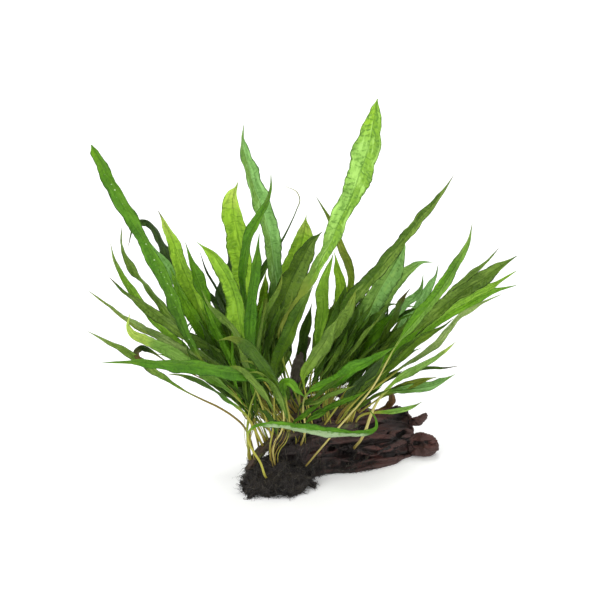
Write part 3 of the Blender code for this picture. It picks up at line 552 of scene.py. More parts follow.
starts, facing = skin_points([log], 330, 6, lambda p, f: 3 < p[0] < 38 and f[1] < 0.0 and 0.3 < p[2] < 6)
ways = facing * 0.4 + random.normal(0.0, 0.7, facing.shape) * (1.0, 0.6, 0.3)
strands("foot_roots", starts, ways, random.uniform(3.0, 9.0, len(starts)), HAIR_RADIUS, ground, 0.5, 0.15, 7)

# The fronds: each a thin wavy blade on a wiry stalk that grows out of a rhizome. A blade is folded a
# little along its rib, quilted between its side veins, and colours from its tip down as it ages.
# Every stalk starts this far under the skin of the stem, wood or pad that carries it, in millimetres.
ROOTED = 0.8
carriers = ground_under(mat, log, bpy.data.objects["upright_stub"], *stems)


def linear(*colour):
    """A colour as the eye reads it, from 0 to 1, as light."""
    return tuple(c / 12.92 if c <= 0.04045 else ((c + 0.055) / 1.055) ** 2.4 for c in colour)


TIP_LIME = linear(0.72, 0.82, 0.34)
LIME = linear(0.57, 0.75, 0.18)
YELLOW_GREEN = linear(0.50, 0.66, 0.10)
PALE_GREEN = linear(0.58, 0.77, 0.34)
LIGHT = linear(0.49, 0.67, 0.18)
FRESH = linear(0.40, 0.60, 0.05)
MID = linear(0.33, 0.52, 0.05)
DEEP = linear(0.28, 0.48, 0.04)
DARK = linear(0.24, 0.37, 0.03)
NIGHT = linear(0.16, 0.26, 0.02)
OLIVE = linear(0.45, 0.52, 0.14)
GREY_GREEN = linear(0.52, 0.62, 0.32)
DULL_GREEN = linear(0.40, 0.52, 0.17)
MOSSY = linear(0.31, 0.43, 0.06)
GRASS = linear(0.45, 0.61, 0.24)
MINT = linear(0.50, 0.70, 0.36)
UNDERSIDE = linear(0.52, 0.64, 0.34)
DEAD = linear(0.36, 0.26, 0.12)
DEAD_GREY = linear(0.44, 0.42, 0.30)
STALK_OLIVE = linear(0.66, 0.65, 0.27)
STALK_CREAM = linear(0.80, 0.76, 0.46)
STALK_GREEN = linear(0.52, 0.58, 0.20)
STALK_BROWN = linear(0.52, 0.45, 0.20)


def layers_of(node):
    """The rings of a frond's solid, four corners each, from its base to its tip."""
    mesh = frame["nodes"][node].data
    corners = np.round(points_of(mesh), 7)
    points, names = np.unique(corners, axis=0, return_inverse=True)
    names = names.ravel()
    near = [set() for _ in points]
    for face in mesh.polygons:
        members = {int(names[v]) for v in face.vertices}
        for member in members:
            near[member] |= members

    def spread_from(first):
        rings, seen = [list(first)], set(first)
        while rings[-1]:
            rings.append(sorted(set().union(*(near[v] for v in rings[-1])) - seen))
            seen.update(rings[-1])
        return rings[:-1]

    end = spread_from([0])[-1][0]
    ring = np.argsort(np.linalg.norm(points - points[end], axis=1))[:4]
    rings = [points[members] for members in spread_from([int(v) for v in ring])]
    if np.ptp(rings[0], axis=0).sum() < np.ptp(rings[-1], axis=0).sum():
        rings.reverse()
    return rings


def unit(rows):
    return rows / np.linalg.norm(rows, axis=-1, keepdims=True)


def diagonals(ring):
    """The two diagonals of a ring's four corners, as pairs of points."""
    pairings = (((0, 1), (2, 3)), ((0, 2), (1, 3)), ((0, 3), (1, 2)))
    best = max(pairings, key=lambda pairs: sum(np.linalg.norm(ring[a] - ring[b]) for a, b in pairs))
    return [(ring[a], ring[b]) for a, b in best]


def frond_line(node):
    """A frond's centres, its ways across and outwards, and its half widths: one row for each ring."""
    rings = [diagonals(ring) for ring in layers_of(node)]
    sizes = [max(np.linalg.norm(b - a) for a, b in ring) for ring in rings]
    widest = int(np.argmax(sizes))
    rows = [None] * len(rings)
    for order in (range(widest, len(rings)), range(widest, -1, -1)):
        for n in order:
            if n == widest:
                edges, ribs = sorted(rings[n], key=lambda pair: -np.linalg.norm(pair[1] - pair[0]))
                across = unit(edges[1] - edges[0])
                outward = unit(ribs[1] - ribs[0])
                if np.dot(sum(edges) - sum(ribs), outward) < 0:
                    outward = -outward
            else:
                edges, ribs = sorted(rings[n], key=lambda pair: -abs(np.dot(unit(pair[1] - pair[0]), across)))
                across = unit(edges[1] - edges[0]) * np.sign(np.dot(edges[1] - edges[0], across))
                outward = unit(ribs[1] - ribs[0]) * np.sign(np.dot(ribs[1] - ribs[0], outward))
            half = np.linalg.norm(edges[1] - edges[0]) / 2
            rows[n] = np.concatenate(((ribs[0] + ribs[1]) / 2, across, outward, (half,)))
    return np.array(rows)


def along(rows, share):
    """Rows read at shares of the length, on a smooth curve through them."""
    steps = np.linalg.norm(np.diff(rows[:, :3], axis=0), axis=1)
    knots = np.concatenate(((0.0,), np.cumsum(steps)))
    slopes = np.gradient(rows, knots, axis=0)
    at = np.clip(share, 0.0, 1.0) * knots[-1]
    k = np.clip(np.searchsorted(knots, at) - 1, 0, len(knots) - 2)
    gap = (knots[k + 1] - knots[k])[:, None]
    t = (at - knots[k])[:, None] / gap
    return ((2 * t**3 - 3 * t**2 + 1) * rows[k] + (t**3 - 2 * t**2 + t) * gap * slopes[k]
            + (3 * t**2 - 2 * t**3) * rows[k + 1] + (t**3 - t**2) * gap * slopes[k + 1])


def length_of(rows):
    return float(np.sum(np.linalg.norm(np.diff(rows[:, :3], axis=0), axis=1)))


def skin_near(place):
    """Whether a place is outside what carries the fronds, its gap to the skin, and the nearest place under it.

    The skin is rough, so the face that is nearest doesn't say which side a place is on. It is inside
    where a straight way from it first meets a skin from behind.
    """
    place = Vector(place)
    near, facing, _, gap = carriers.find_nearest(place)
    first_met = [(carriers.ray_cast(place, way)[1], way) for way in STRAIGHT_WAYS]
    outside = not any(normal is not None and normal.dot(way) > 0.0 for normal, way in first_met)
    inward = (near - place) if outside else (place - near)
    inward = inward.normalized() if gap > 0.05 * MM else -facing
    return outside, gap, np.array(near + inward * ROOTED * MM)


STRAIGHT_WAYS = [Vector(way) for way in ((1, 0, 0), (-1, 0, 0), (0, 1, 0), (0, -1, 0), (0, 0, 1), (0, 0, -1))]


def rooted(rows):
    """The line bent over the start of its length, where that is needed, so that it starts under the skin."""
    outside, gap, start = skin_near(rows[0, :3])
    run = np.append(0.0, np.cumsum(np.linalg.norm(np.diff(rows[:, :3], axis=0), axis=1)))
    bent = rows.copy()
    if outside or gap < SHALLOW * MM:
        bent[:, :3] += np.outer(np.clip(1.0 - run / (BENT_SHARE * run[-1]), 0.0, 1.0), start - rows[0, :3])
    return bent


SHALLOW = 0.4
BENT_SHARE = 0.35


def grown(rows, root=1.2, point=1.6):
    """The line with its base carried into what it grows from and its tip drawn out to a point."""
    first, last = rows[0].copy(), rows[-1].copy()
    first[:3] -= unit(rows[1, :3] - rows[0, :3]) * root * MM
    outside, _, start = skin_near(first[:3])
    if outside and skin_near(rows[0, :3])[0]:
        first[:3] = start
    last[:3] += unit(rows[-1, :3] - rows[-2, :3]) * point * MM
    last[9] = 0.0
    return np.vstack((first, rows, last))


def blade_starts(rows):
    """The share of the length at which the stalk opens into the blade."""
    share = np.linspace(0.0, 1.0, 200)
    half = along(rows, share)[:, 9] / MM
    return float(share[np.argmax(half > 1.0)]) if half.max() > 1.0 else 0.4


def blade(name, rows, wave=0.8, quilt=0.2, ragged=0.11, keen=0.3, fold=0.34, around=24, step=1.15, rib=0.3,
          roll=(), slim=1.0, even=0.45, widths=(), nudge=()):
    """A frond as one closed skin: a round stalk that opens into a thin blade with a rib."""
    random = np.random.default_rng(sum(ord(letter) * (n + 3) for n, letter in enumerate(name)))
    roll = (*roll, (0.35, 0.75, random.uniform(-14.0, 14.0)), (0.7, 1.0, random.uniform(-22.0, 22.0)))
    length = length_of(rows) / MM
    bpy.ops.object.select_all(action="DESELECT")
    bpy.ops.mesh.primitive_grid_add(x_subdivisions=max(16, round(length / step)), y_subdivisions=around, size=1.0)
    piece = bpy.context.object
    piece.name = name
    flat = points_of(piece.data)
    run, turn = flat[:, 0] + 0.5, flat[:, 1] + 0.5
    line = along(rows, run)
    centre, half = line[:, :3], np.maximum(line[:, 9] / MM, 0.0)
    if nudge:
        places, right, up = zip(*nudge)
        centre = centre + np.interp(run, places, right)[:, None] * np.array((MM, 0.0, 0.0))
        centre = centre + np.interp(run, places, up)[:, None] * np.array(UP) * MM
    if widths:
        half = np.interp(run, *zip(*widths))
    else:
        begin = blade_starts(rows)
        strap = 0.74 * half.max() * np.clip((run - begin) / 0.14, 0.0, 1.0) ** 0.7
        strap *= np.clip((1.0 - run) / 0.16, 0.0, 1.0) ** 0.6
        half = np.where(run > begin, np.maximum(half * (1 - even) + strap * even, np.minimum(half, 1.0)), half)
    way = unit(along(rows, run + 0.004)[:, :3] - along(rows, run - 0.004)[:, :3])
    across = unit(line[:, 3:6] - np.sum(line[:, 3:6] * way, axis=1, keepdims=True) * way)
    outward = np.cross(across, way)
    outward *= np.sign(np.sum(outward * line[:, 6:9], axis=1, keepdims=True))
    for start, end, degrees in roll:
        part = np.clip((run - start) / (end - start), 0.0, 1.0)
        angle = math.radians(degrees) * part * part * (3 - 2 * part)
        turned = across * np.cos(angle)[:, None] + outward * np.sin(angle)[:, None]
        outward = outward * np.cos(angle)[:, None] - across * np.sin(angle)[:, None]
        across = turned
    opens = 0.35 * min(half.max(), 2.7)
    open_part = np.clip((half - opens) / (opens + 0.1), 0.0, 1.0)
    half = half * (slim * open_part + 0.52 * (1 - open_part))
    spread = np.where(turn < 0.5, 1.0 - 4.0 * turn, 4.0 * turn - 3.0)
    spread = np.sign(spread) * np.abs(spread) ** 1.25
    a = np.cos(2 * math.pi * turn) * (1 - open_part) + spread * open_part
    side = np.where(turn < 0.5, 1.0, -1.0)
    run_mm = run * length
    phases = random.uniform(0.0, 2 * math.pi, 8)
    left = (a > 0)
    wander = (np.sin(run_mm / 5.3 + phases[0] + 2.0 * left) + 0.7 * np.sin(run_mm / 2.3 + phases[1] + 4.0 * left)
              + 0.8 * np.sin(run_mm / 9.1 + phases[2] + left))
    teeth = np.abs(np.sin(run_mm / 1.7 + 1.4 * np.sin(run_mm / 6.0 + phases[6]) + 2.0 * left)) - 0.6
    wide = half * (1.0 + (ragged * wander + 0.7 * ragged * teeth) * open_part)
    wide *= 1.0 - keen * np.clip((run - 0.72) / 0.28, 0.0, 1.0) ** 1.3
    thick = np.minimum(wide, 0.6) * (1 - open_part) + 0.12 * open_part
    stand = thick * np.sqrt(np.clip(1.0 - a * a, 0.0, 1.0))
    stand += rib * open_part * np.exp(-((a * wide / 0.4) ** 2)) * np.where(side > 0, -0.5, 1.0) * (1 - run * 0.7)
    valley = fold * wide * np.abs(a) ** 1.1 * open_part
    sway = np.sin(run_mm / 3.9 + phases[3] + 2.6 * left) + 0.7 * np.sin(run_mm / 2.0 + phases[4] + 1.3 * left)
    margin = wave * np.minimum(half / 3.0, 1.3) * sway * np.abs(a) ** 1.8 * open_part
    beat = np.sin(2 * math.pi * (run_mm / 4.2 + 0.35 * np.abs(a) * half + 0.25 * np.sin(run_mm / 4.7 + phases[7]))
                  + phases[5] + 1.5 * left)
    pillow = quilt * beat * np.clip(np.abs(a) * (1 - np.abs(a)) * 4, 0.0, 1.0) * open_part
    rise = side * stand + valley + margin + pillow
    points = centre + (across * (a * wide)[:, None] + outward * rise[:, None]) * MM
    points[:, 2] = np.maximum(points[:, 2], 0.0001)
    moved_to(piece.data, points)
    bpy.ops.object.mode_set(mode="EDIT")
    bpy.ops.mesh.select_all(action="SELECT")
    bpy.ops.mesh.remove_doubles(threshold=0.00002)
    bpy.ops.mesh.fill_holes(sides=0)
    bpy.ops.mesh.normals_make_consistent(inside=False)
    bpy.ops.object.mode_set(mode="OBJECT")
    bpy.ops.object.shade_smooth()
    return piece


def blade_finish(name, tip, body, base, stalk, starts, length, vein_and_quilt_shade=0.35, spots=0.2, dead=None, edge=0.3,
                 tip_from=0.9, sheen_part=None, right_half_light_and_shade=None, left_half_light_and_shade=None, dotted=0.0):
    """Leaf skin: coloured from stalk to tip, streaked and blotched with painted shade and painted highlights, netted
    with veins darkened partly by the painted shade of the quilting, its halves and rib tinted with painted light and
    shade where asked, a painted sheen on part of it where asked, and darker along its margins.
    """
    material, new = new_finish(name)
    uv = new.node("ShaderNodeUVMap", uv_map="UVMap")
    run = new.node("ShaderNodeSeparateXYZ", {"Vector": uv}, output="X")
    turn = Finish(run.tree, run.made, "Y")
    signed = abs(turn - 0.5) * 4.0 - 1.0
    off_rib = abs(signed)
    patches = new.noise(new.place(), 75.0)
    mottle = new.noise(new.place(), 420.0, 4.0)
    streaks = new.noise(new.node("ShaderNodeCombineXYZ", {"X": run * (length * 0.06), "Y": signed * 1.7,
                                                          "Z": patches * 0.5}), 1.7, 4.0)
    opened = run.rising(starts - 0.03, starts + 0.05)
    stops = [(0.0, STALK_BROWN), (starts * 0.3, stalk), (starts * 0.75, stalk), (min(starts + 0.03, 0.9), base),
             (0.64, body), (tip_from - 0.04, body), (tip_from + 0.03, tip)]
    if dead:
        stops += [(0.965, tip), (0.985, dead)]
    shifted = run + (patches - 0.5) * 0.1 + (streaks - 0.5) * 0.12
    colour = new.node("ShaderNodeValToRGB", {"Fac": shifted}, stops=stops)
    # painted shade and painted highlight: a darker copy, and a brighter and bluer copy, of the body colour
    shade = tuple(f * c for f, c in zip((0.32, 0.42, 0.24), body))
    painted_highlight = tuple(f * c + 0.006 for f, c in zip((1.6, 1.42, 1.9), body))
    # painted light and shade of the fold: one half of the blade tinted lighter or darker than the other
    for half, shown in ((right_half_light_and_shade, signed.rising(-0.12, 0.12)), (left_half_light_and_shade, 1.0 - signed.rising(-0.12, 0.12))):
        if half:
            colour = new.mixed(colour, half, shown * opened * 0.85)
    # painted shade in blotches and streaks, and painted highlights between them
    colour = new.mixed(colour, shade, patches.rising(0.46, 0.68) * 0.4 * opened)
    colour = new.mixed(colour, shade, streaks.rising(0.50, 0.68) * 0.45 * opened)
    colour = new.mixed(colour, painted_highlight, (1.0 - streaks.rising(0.34, 0.48)) * 0.55 * opened)
    colour = new.mixed(colour, painted_highlight, mottle.rising(0.52, 0.72) * 0.35 * opened)
    # the net of sunken veins: the darker vein colour, partly the painted shade of the quilting between them
    cells = new.node("ShaderNodeTexVoronoi", {
        "Vector": new.node("ShaderNodeCombineXYZ", {"X": run * (length / 2.7) + mottle * 0.9 + off_rib * 0.5,
                                                    "Y": signed * 0.75 + patches}),
        "Scale": 1.0}, feature="DISTANCE_TO_EDGE")
    net = (1.0 - cells.rising(0.0, 0.16)) * streaks.rising(0.36, 0.55) * opened
    colour = new.mixed(colour, shade, net * mottle.rising(0.36, 0.56) * vein_and_quilt_shade)
    # the rib: painted shade along it where the vein marks are strong, else a painted highlight
    rib = (1.0 - off_rib.rising(0.03, 0.12)) * opened
    colour = new.mixed(colour, shade if vein_and_quilt_shade > 0.3 else painted_highlight, rib * 0.5)
    rough_edge = (off_rib + (mottle - 0.5) * 0.5 + (streaks - 0.5) * 0.3).rising(0.80, 1.0) * opened
    colour = new.mixed(colour, tuple(0.5 * c for c in shade), rough_edge * edge)
    dots = new.node("ShaderNodeTexVoronoi", {"Vector": new.place(), "Scale": 430.0})
    colour = new.mixed(colour, NIGHT, (1.0 - dots.rising(0.10, 0.22)) * patches.rising(0.4, 0.6) * spots * opened)
    if dotted:
        row = (1.0 - dots.rising(0.12, 0.22)) * (1.0 - off_rib.rising(0.16, 0.4)) * opened
        colour = new.mixed(colour, linear(0.74, 0.84, 0.62), row * dotted)
    colour = new.mixed(colour, UNDERSIDE, (turn > 0.5) * 0.15 * opened)
    # painted sheen: a pale wet sheen over part of the blade
    if sheen_part:
        low, high = sheen_part
        shown = run.rising(low, low + 0.05) * (1.0 - run.rising(high - 0.05, high))
        sheen = shown * (1.0 - (signed + (mottle - 0.5) * 1.8 + (streaks - 0.5) * 1.2).rising(-0.4, 0.1))
        colour = new.mixed(colour, linear(0.66, 0.74, 0.58), sheen * 0.75)
    height = (1.0 - net) * 0.7 + mottle * 0.8 + streaks * 0.5 + rib * 0.5
    wear(material, colour, 0.33 + mottle * 0.3, new.bump(height, 0.7, 0.00045), Specular_IOR_Level=0.22)
    return material


# tip, body, base, stalk, and how it differs: wave and quilting in millimetres, the strength of the
# dark marks, dots and margin, and a dead tip
FRONDS = {
    "left_long": (FRESH, DEEP, DARK, STALK_GREEN, dict(
        wave=0.5, edge=0.5, spots=0.1, vein_and_quilt_shade=0.15, keen=0.0, dotted=0.8, tip_from=0.94, right_half_light_and_shade=MID,
        widths=((0, 0.7), (0.3, 0.8), (0.4, 2.6), (0.5, 3.4), (0.7, 3.4), (0.85, 3.1), (0.94, 2.9), (0.98, 2.2),
                (1, 0.6)),
        nudge=((0.4, 0, 0), (0.6, 0.9, 0.3), (0.85, 0.5, 0.3), (1, -0.6, 0)))),
    "left_bright": (MINT, MINT, FRESH, STALK_OLIVE, dict(wave=0.4, vein_and_quilt_shade=0.2, edge=0.2, slim=1.15)),
    "left_arch": (DARK, NIGHT, DARK, STALK_GREEN, dict(
        dead=DEAD, spots=0.5, ragged=0.06,
        widths=((0, 0.7), (0.38, 0.8), (0.5, 2.2), (0.6, 3.7), (0.78, 3.8), (0.87, 2.4), (0.94, 1.2), (1, 0.3)))),
    "left_lime": (TIP_LIME, LIME, FRESH, STALK_OLIVE, dict(
        wave=0.4, dead=DEAD, edge=0.6, slim=1.25, nudge=((0.4, 0, 0), (0.6, 1.0, 0.2), (0.85, 1.5, 0.3), (1, 0.3, 0)))),
    "left_inner": (MID, MID, MID, STALK_OLIVE, dict(
        dead=DEAD_GREY, edge=0.5, slim=1.2, nudge=((0.6, 0, 0), (0.85, -0.7, 0), (1, 0, 0)))),
    "left_wavy": (GREY_GREEN, DULL_GREEN, DULL_GREEN, STALK_GREEN, dict(
        wave=1.0, edge=0.8, dead=DEAD_GREY, ragged=0.15, even=0.8, left_half_light_and_shade=MOSSY, slim=1.1,
        nudge=((0.5, 0, 0), (0.8, -0.5, 0), (1, -0.5, 0)))),
    "left_yellow": (GREY_GREEN, LIGHT, MID, STALK_OLIVE, dict(
        wave=0.5, dead=DEAD_GREY, slim=1.2, even=0.8, nudge=((0.6, 0, 0), (0.9, -0.9, 0), (1, -1.6, 0.3)))),
    "left_dark_low": (DARK, DULL_GREEN, DARK, STALK_GREEN, dict(
        dead=DEAD, spots=0.5, edge=0.7, even=0.8, slim=0.9, ragged=0.14)),
    "left_grey": (GREY_GREEN, GREY_GREEN, OLIVE, STALK_OLIVE, dict(
        wave=0.9, edge=0.9, dead=DEAD, slim=0.85, ragged=0.16, even=0.8, left_half_light_and_shade=OLIVE)),
    "left_low_pale": (GREY_GREEN, DULL_GREEN, MID, STALK_BROWN, dict(
        wave=0.8, edge=0.8, dead=DEAD_GREY, ragged=0.15, even=0.6)),
    "left_young": (TIP_LIME, GRASS, MID, STALK_OLIVE, dict(
        wave=0.5, edge=0.1, vein_and_quilt_shade=0.1, spots=0.0, slim=1.5, even=0.8, keen=0.0, tip_from=0.82,
        nudge=((0.6, 0, 0), (0.8, 0.4, 0.6), (1, -0.4, 0)))),
    "left_horizontal": (YELLOW_GREEN, DEEP, DEEP, STALK_OLIVE, dict(
        wave=0.4, edge=0.15, vein_and_quilt_shade=0.15, spots=0.05, even=0.3, right_half_light_and_shade=MID, slim=1.15,
        nudge=((0.5, 0, 0), (0.75, 0, -0.7), (1, -1.6, -0.3)))),
    "left_small_low": (OLIVE, DARK, DEEP, STALK_OLIVE, dict(dead=DEAD)),
    "lime_back": (TIP_LIME, LIME, FRESH, STALK_OLIVE, dict(
        wave=0.3, edge=0.1, vein_and_quilt_shade=0.5, spots=0.0, slim=1.32, keen=0.0,
        nudge=((0.4, 0, 0), (0.65, 1.6, 0), (0.85, 1.4, 0), (1, 0.6, 0)))),
    "tall_left": (MINT, MINT, MID, STALK_GREEN, dict(
        wave=0.8, edge=0.6, dead=DEAD_GREY, vein_and_quilt_shade=0.3, slim=1.2, even=0.6, left_half_light_and_shade=GRASS,
        nudge=((0.3, -0.8, 0), (0.55, -1.4, 0), (0.75, -0.4, 0), (1, 0.3, 0)))),
    "crossing_dark": (DULL_GREEN, DEEP, MID, STALK_GREEN, dict(wave=0.5, dead=DEAD_GREY, spots=0.4, right_half_light_and_shade=MID)),
    "bent_wisp": (STALK_OLIVE, DARK, NIGHT, STALK_GREEN, dict(
        wave=0.3, spots=0.4, widths=((0, 0.7), (0.35, 0.8), (0.5, 2.2), (0.62, 1.9), (0.72, 1.0), (0.84, 0.6),
                                     (0.94, 0.6), (1, 0.2)))),
    "tall_main": (LIME, PALE_GREEN, DULL_GREEN, STALK_GREEN, dict(
        wave=0.7, edge=0.3, vein_and_quilt_shade=0.9, quilt=0.35, keen=0.0, right_half_light_and_shade=LIGHT,
        widths=((0, 0.8), (0.2, 0.9), (0.3, 2.2), (0.42, 2.4), (0.55, 2.8), (0.61, 3.7), (0.67, 4.7), (0.77, 6.3),
                (0.87, 6.1), (0.93, 4.4), (0.97, 2.6), (1, 0.4)),
        nudge=((0.35, 0, 0), (0.5, 1.0, 0), (0.62, 0.6, 0), (0.8, 0.3, 0), (1, 0.4, 0)))),
    "behind_tall": (DULL_GREEN, OLIVE, YELLOW_GREEN, STALK_OLIVE, dict(wave=0.3)),
    "centre_dark": (DARK, MOSSY, DARK, STALK_BROWN, dict(
        wave=0.7, spots=0.9, vein_and_quilt_shade=0.4, edge=0.4, right_half_light_and_shade=DULL_GREEN, slim=1.05,
        nudge=((0.5, 0, 0), (0.8, -1.2, 0.2), (1, -2.6, -1.0)))),
    "lime_small": (TIP_LIME, LIME, YELLOW_GREEN, STALK_OLIVE, dict(
        wave=0.3, edge=0.1, spots=0.0, slim=1.35, nudge=((0.5, 0, 0), (0.8, 0.8, 0), (1, -0.6, 0)))),
    "left_fold_lime": (YELLOW_GREEN, LIGHT, MID, STALK_OLIVE, dict(
        wave=0.4, edge=0.7, slim=1.2, left_half_light_and_shade=LIME,
        nudge=((0.4, 0, 0), (0.7, -0.6, 0.8), (0.9, -0.6, 1.8), (1, -1.8, 0.6)))),
    "back_dark_left": (NIGHT, NIGHT, NIGHT, STALK_GREEN, dict(spots=0.4)),
    "left_edge_dark": (DARK, NIGHT, NIGHT, STALK_GREEN, dict(dead=DEAD)),
    "grey_stripe": (DULL_GREEN, DULL_GREEN, DULL_GREEN, STALK_OLIVE, dict(wave=0.4, edge=0.3)),
    "front_fold": (OLIVE, DARK, MOSSY, STALK_CREAM, dict(wave=0.4, vein_and_quilt_shade=0.2)),
    "vertical_mid": (MID, DEEP, DARK, STALK_GREEN, dict(
        wave=0.4, keen=0.0, slim=1.35, even=0.8, nudge=((0.6, 0, 0), (0.85, 0.4, 0), (1, 0, 1.0)))),
    "under_tall": (DULL_GREEN, DARK, MOSSY, STALK_OLIVE, dict(wave=0.5, right_half_light_and_shade=MOSSY)),
    "bright_mid": (LIGHT, LIGHT, MID, STALK_OLIVE, dict(
        wave=0.3, edge=0.2, even=0.7, slim=1.1, nudge=((0.5, 0, 0), (0.8, 1.6, 0), (1, 1.8, 0)))),
    "light_mid": (LIME, LIME, MID, STALK_OLIVE, dict(
        wave=0.3, edge=0.2, slim=1.35, even=0.7, nudge=((0.6, 0, 0), (0.85, 1.0, 0), (1, 1.4, 0)))),
    "right_long_dark": (GREY_GREEN, DULL_GREEN, DARK, STALK_OLIVE, dict(
        wave=1.0, ragged=0.14, edge=0.9, vein_and_quilt_shade=0.6, spots=0.5, dead=DEAD_GREY, slim=0.82, keen=0.45,
        left_half_light_and_shade=DARK, nudge=((0.4, 0, 0), (0.7, 0.3, -0.3), (1, -0.6, 0.2)))),
    "right_broad": (GRASS, GRASS, MOSSY, STALK_GREEN, dict(wave=0.6, vein_and_quilt_shade=0.6, quilt=0.3, right_half_light_and_shade=MINT, slim=1.1)),
    "right_arch": (MINT, GRASS, FRESH, STALK_OLIVE, dict(
        wave=0.3, edge=0.2, slim=1.35, nudge=((0.6, 0, 0), (0.85, 0, -0.8), (1, -1.5, 0)))),
    "right_brown": (DEAD, MOSSY, DARK, STALK_BROWN, dict(dead=DEAD, spots=0.6)),
    "right_green": (MID, MINT, MID, STALK_OLIVE, dict(wave=0.4, slim=1.3)),
    "right_dark_tip": (DARK, MINT, MID, STALK_OLIVE, dict(dead=NIGHT, slim=1.35)),
    "right_bright": (GREY_GREEN, MID, MID, STALK_CREAM, dict(wave=0.5, dead=DEAD_GREY, right_half_light_and_shade=GRASS)),
    "right_far_thin": (DULL_GREEN, DULL_GREEN, DARK, STALK_GREEN, dict(dead=DEAD, wave=0.5, ragged=0.16, even=0.7)),
    "right_low_dark": (DULL_GREEN, DULL_GREEN, DARK, STALK_OLIVE, dict(
        wave=0.7, edge=0.7, spots=0.4, ragged=0.14, even=0.9, keen=0.0, slim=1.15, right_half_light_and_shade=MOSSY,
        nudge=((0.7, 0, 0), (0.9, 0.4, 0.8), (1, 2.0, 1.4)))),
    "right_low_yellow": (YELLOW_GREEN, LIGHT, FRESH, STALK_OLIVE, dict(
        wave=0.5, edge=0.3, even=0.9, keen=0.0, nudge=((0.8, 0, 0), (1, 1.5, 0.6)))),
    "right_low_green": (FRESH, FRESH, MID, STALK_OLIVE, dict(
        wave=0.5, even=0.9, keen=0.0, slim=1.3, nudge=((0.8, 0, 0), (1, 1.5, 0.2)))),
    "right_low_grey": (GREY_GREEN, GREY_GREEN, DARK, STALK_OLIVE, dict(wave=0.6, edge=0.4, slim=0.85)),
    "right_lower_dark": (NIGHT, MOSSY, DARK, STALK_OLIVE, dict(
        wave=0.6, spots=0.4, dead=NIGHT, slim=0.85, nudge=((0.5, 0, 0), (0.8, 0, 0.6), (1, 0, 0.6)))),
    "right_lower_yellow": (TIP_LIME, GRASS, YELLOW_GREEN, STALK_CREAM, dict(
        wave=0.5, slim=1.35, even=0.7, nudge=((0.5, 0, 0), (0.7, 0, 0.2), (1, 0, -0.3)))),
    "right_level": (LIGHT, MINT, LIGHT, STALK_OLIVE, dict(
        wave=0.4, edge=0.4, slim=1.45, nudge=((0.4, 0, 0), (0.6, 0, 0.1), (1, 0, 0.1)))),
    "right_lowest": (OLIVE, PALE_GREEN, LIGHT, STALK_OLIVE, dict(wave=0.3, edge=0.3, slim=0.85)),
    "front_curl": (MID, DEEP, MID, STALK_OLIVE, dict(
        wave=0.8, edge=0.7, sheen_part=(0.36, 0.86), slim=1.1, ragged=0.2, even=0.6)),
    "centre_olive": (DULL_GREEN, DULL_GREEN, YELLOW_GREEN, STALK_OLIVE, dict(wave=0.4, edge=0.2)),
    "centre_bright": (MID, DEEP, MID, STALK_CREAM, dict(wave=0.5, edge=0.2)),
    "centre_lower": (DARK, NIGHT, DARK, STALK_OLIVE, dict(wave=0.4)),
    "small_front": (MID, MID, MID, STALK_OLIVE, dict(wave=0.3, slim=1.5, nudge=((0.6, 0, 0), (0.8, 0, -1.0), (1, 0, -0.5)))),
    "fill_right": (MID, MID, DARK, STALK_OLIVE, dict(wave=0.5)),
}
SHAPE_WORDS = ("wave", "quilt", "ragged", "keen", "fold", "roll", "slim", "even", "widths", "nudge")
slots = {row["node"]: row["material_slot"] for row in frame["record"]["subparts"]}
lines = {}
for name, (tip, body, base, stalk, more) in FRONDS.items():
    rows = grown(frond_line("frond_" + name))
    lines[name] = rows
    leaf = blade("leaf_" + name, rows, **{key: value for key, value in more.items() if key in SHAPE_WORDS})
    leaf.data.materials.append(blade_finish(
        "skin_" + name, tip, body, base, stalk, blade_starts(rows), length_of(rows) / MM,
        **{key: value for key, value in more.items() if key not in SHAPE_WORDS}))
    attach(leaf, "root")
    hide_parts("frond_" + name)
    slots["frond_" + name]

# The rest of the fronds: shorter ones that fill the heart of the plant, from the same rhizomes.
# They are too many for a solid each, so each grows beside one that has a solid, inside its reach.
HEART = ("lime_back", "tall_left", "crossing_dark", "bent_wisp", "tall_main", "behind_tall", "centre_dark",
         "lime_small", "back_dark_left", "left_edge_dark", "vertical_mid", "bright_mid", "light_mid",
         "right_long_dark", "right_broad", "right_arch", "right_brown", "right_green", "right_dark_tip",
         "right_far_thin", "right_low_dark", "right_low_yellow", "right_low_green", "left_inner",
         "left_lime", "left_dark_low", "left_wavy", "fill_right", "left_arch", "left_bright")
OUTER = ("left_yellow", "left_grey", "left_dark_low", "left_wavy", "left_young", "left_bright",
         "right_low_grey", "right_lower_dark", "right_level", "front_fold", "centre_bright")
COMPANIONS = 4
YOUNG = 5
# gaps between the fronds that light comes through: their middles in the front view, and their radii
GAPS = ((5.5, 90, 4.0), (5.0, 84, 3.0), (15.0, 99, 2.5), (57.0, 99, 4.0), (50.0, 92, 3.5), (-42.0, 98, 2.5),
        (-26.0, 103, 2.0), (-36.0, 84, 1.5), (-2.0, 60, 7.0), (58.0, 60, 2.5), (48.0, 50, 2.0), (66.0, 62, 2.5))
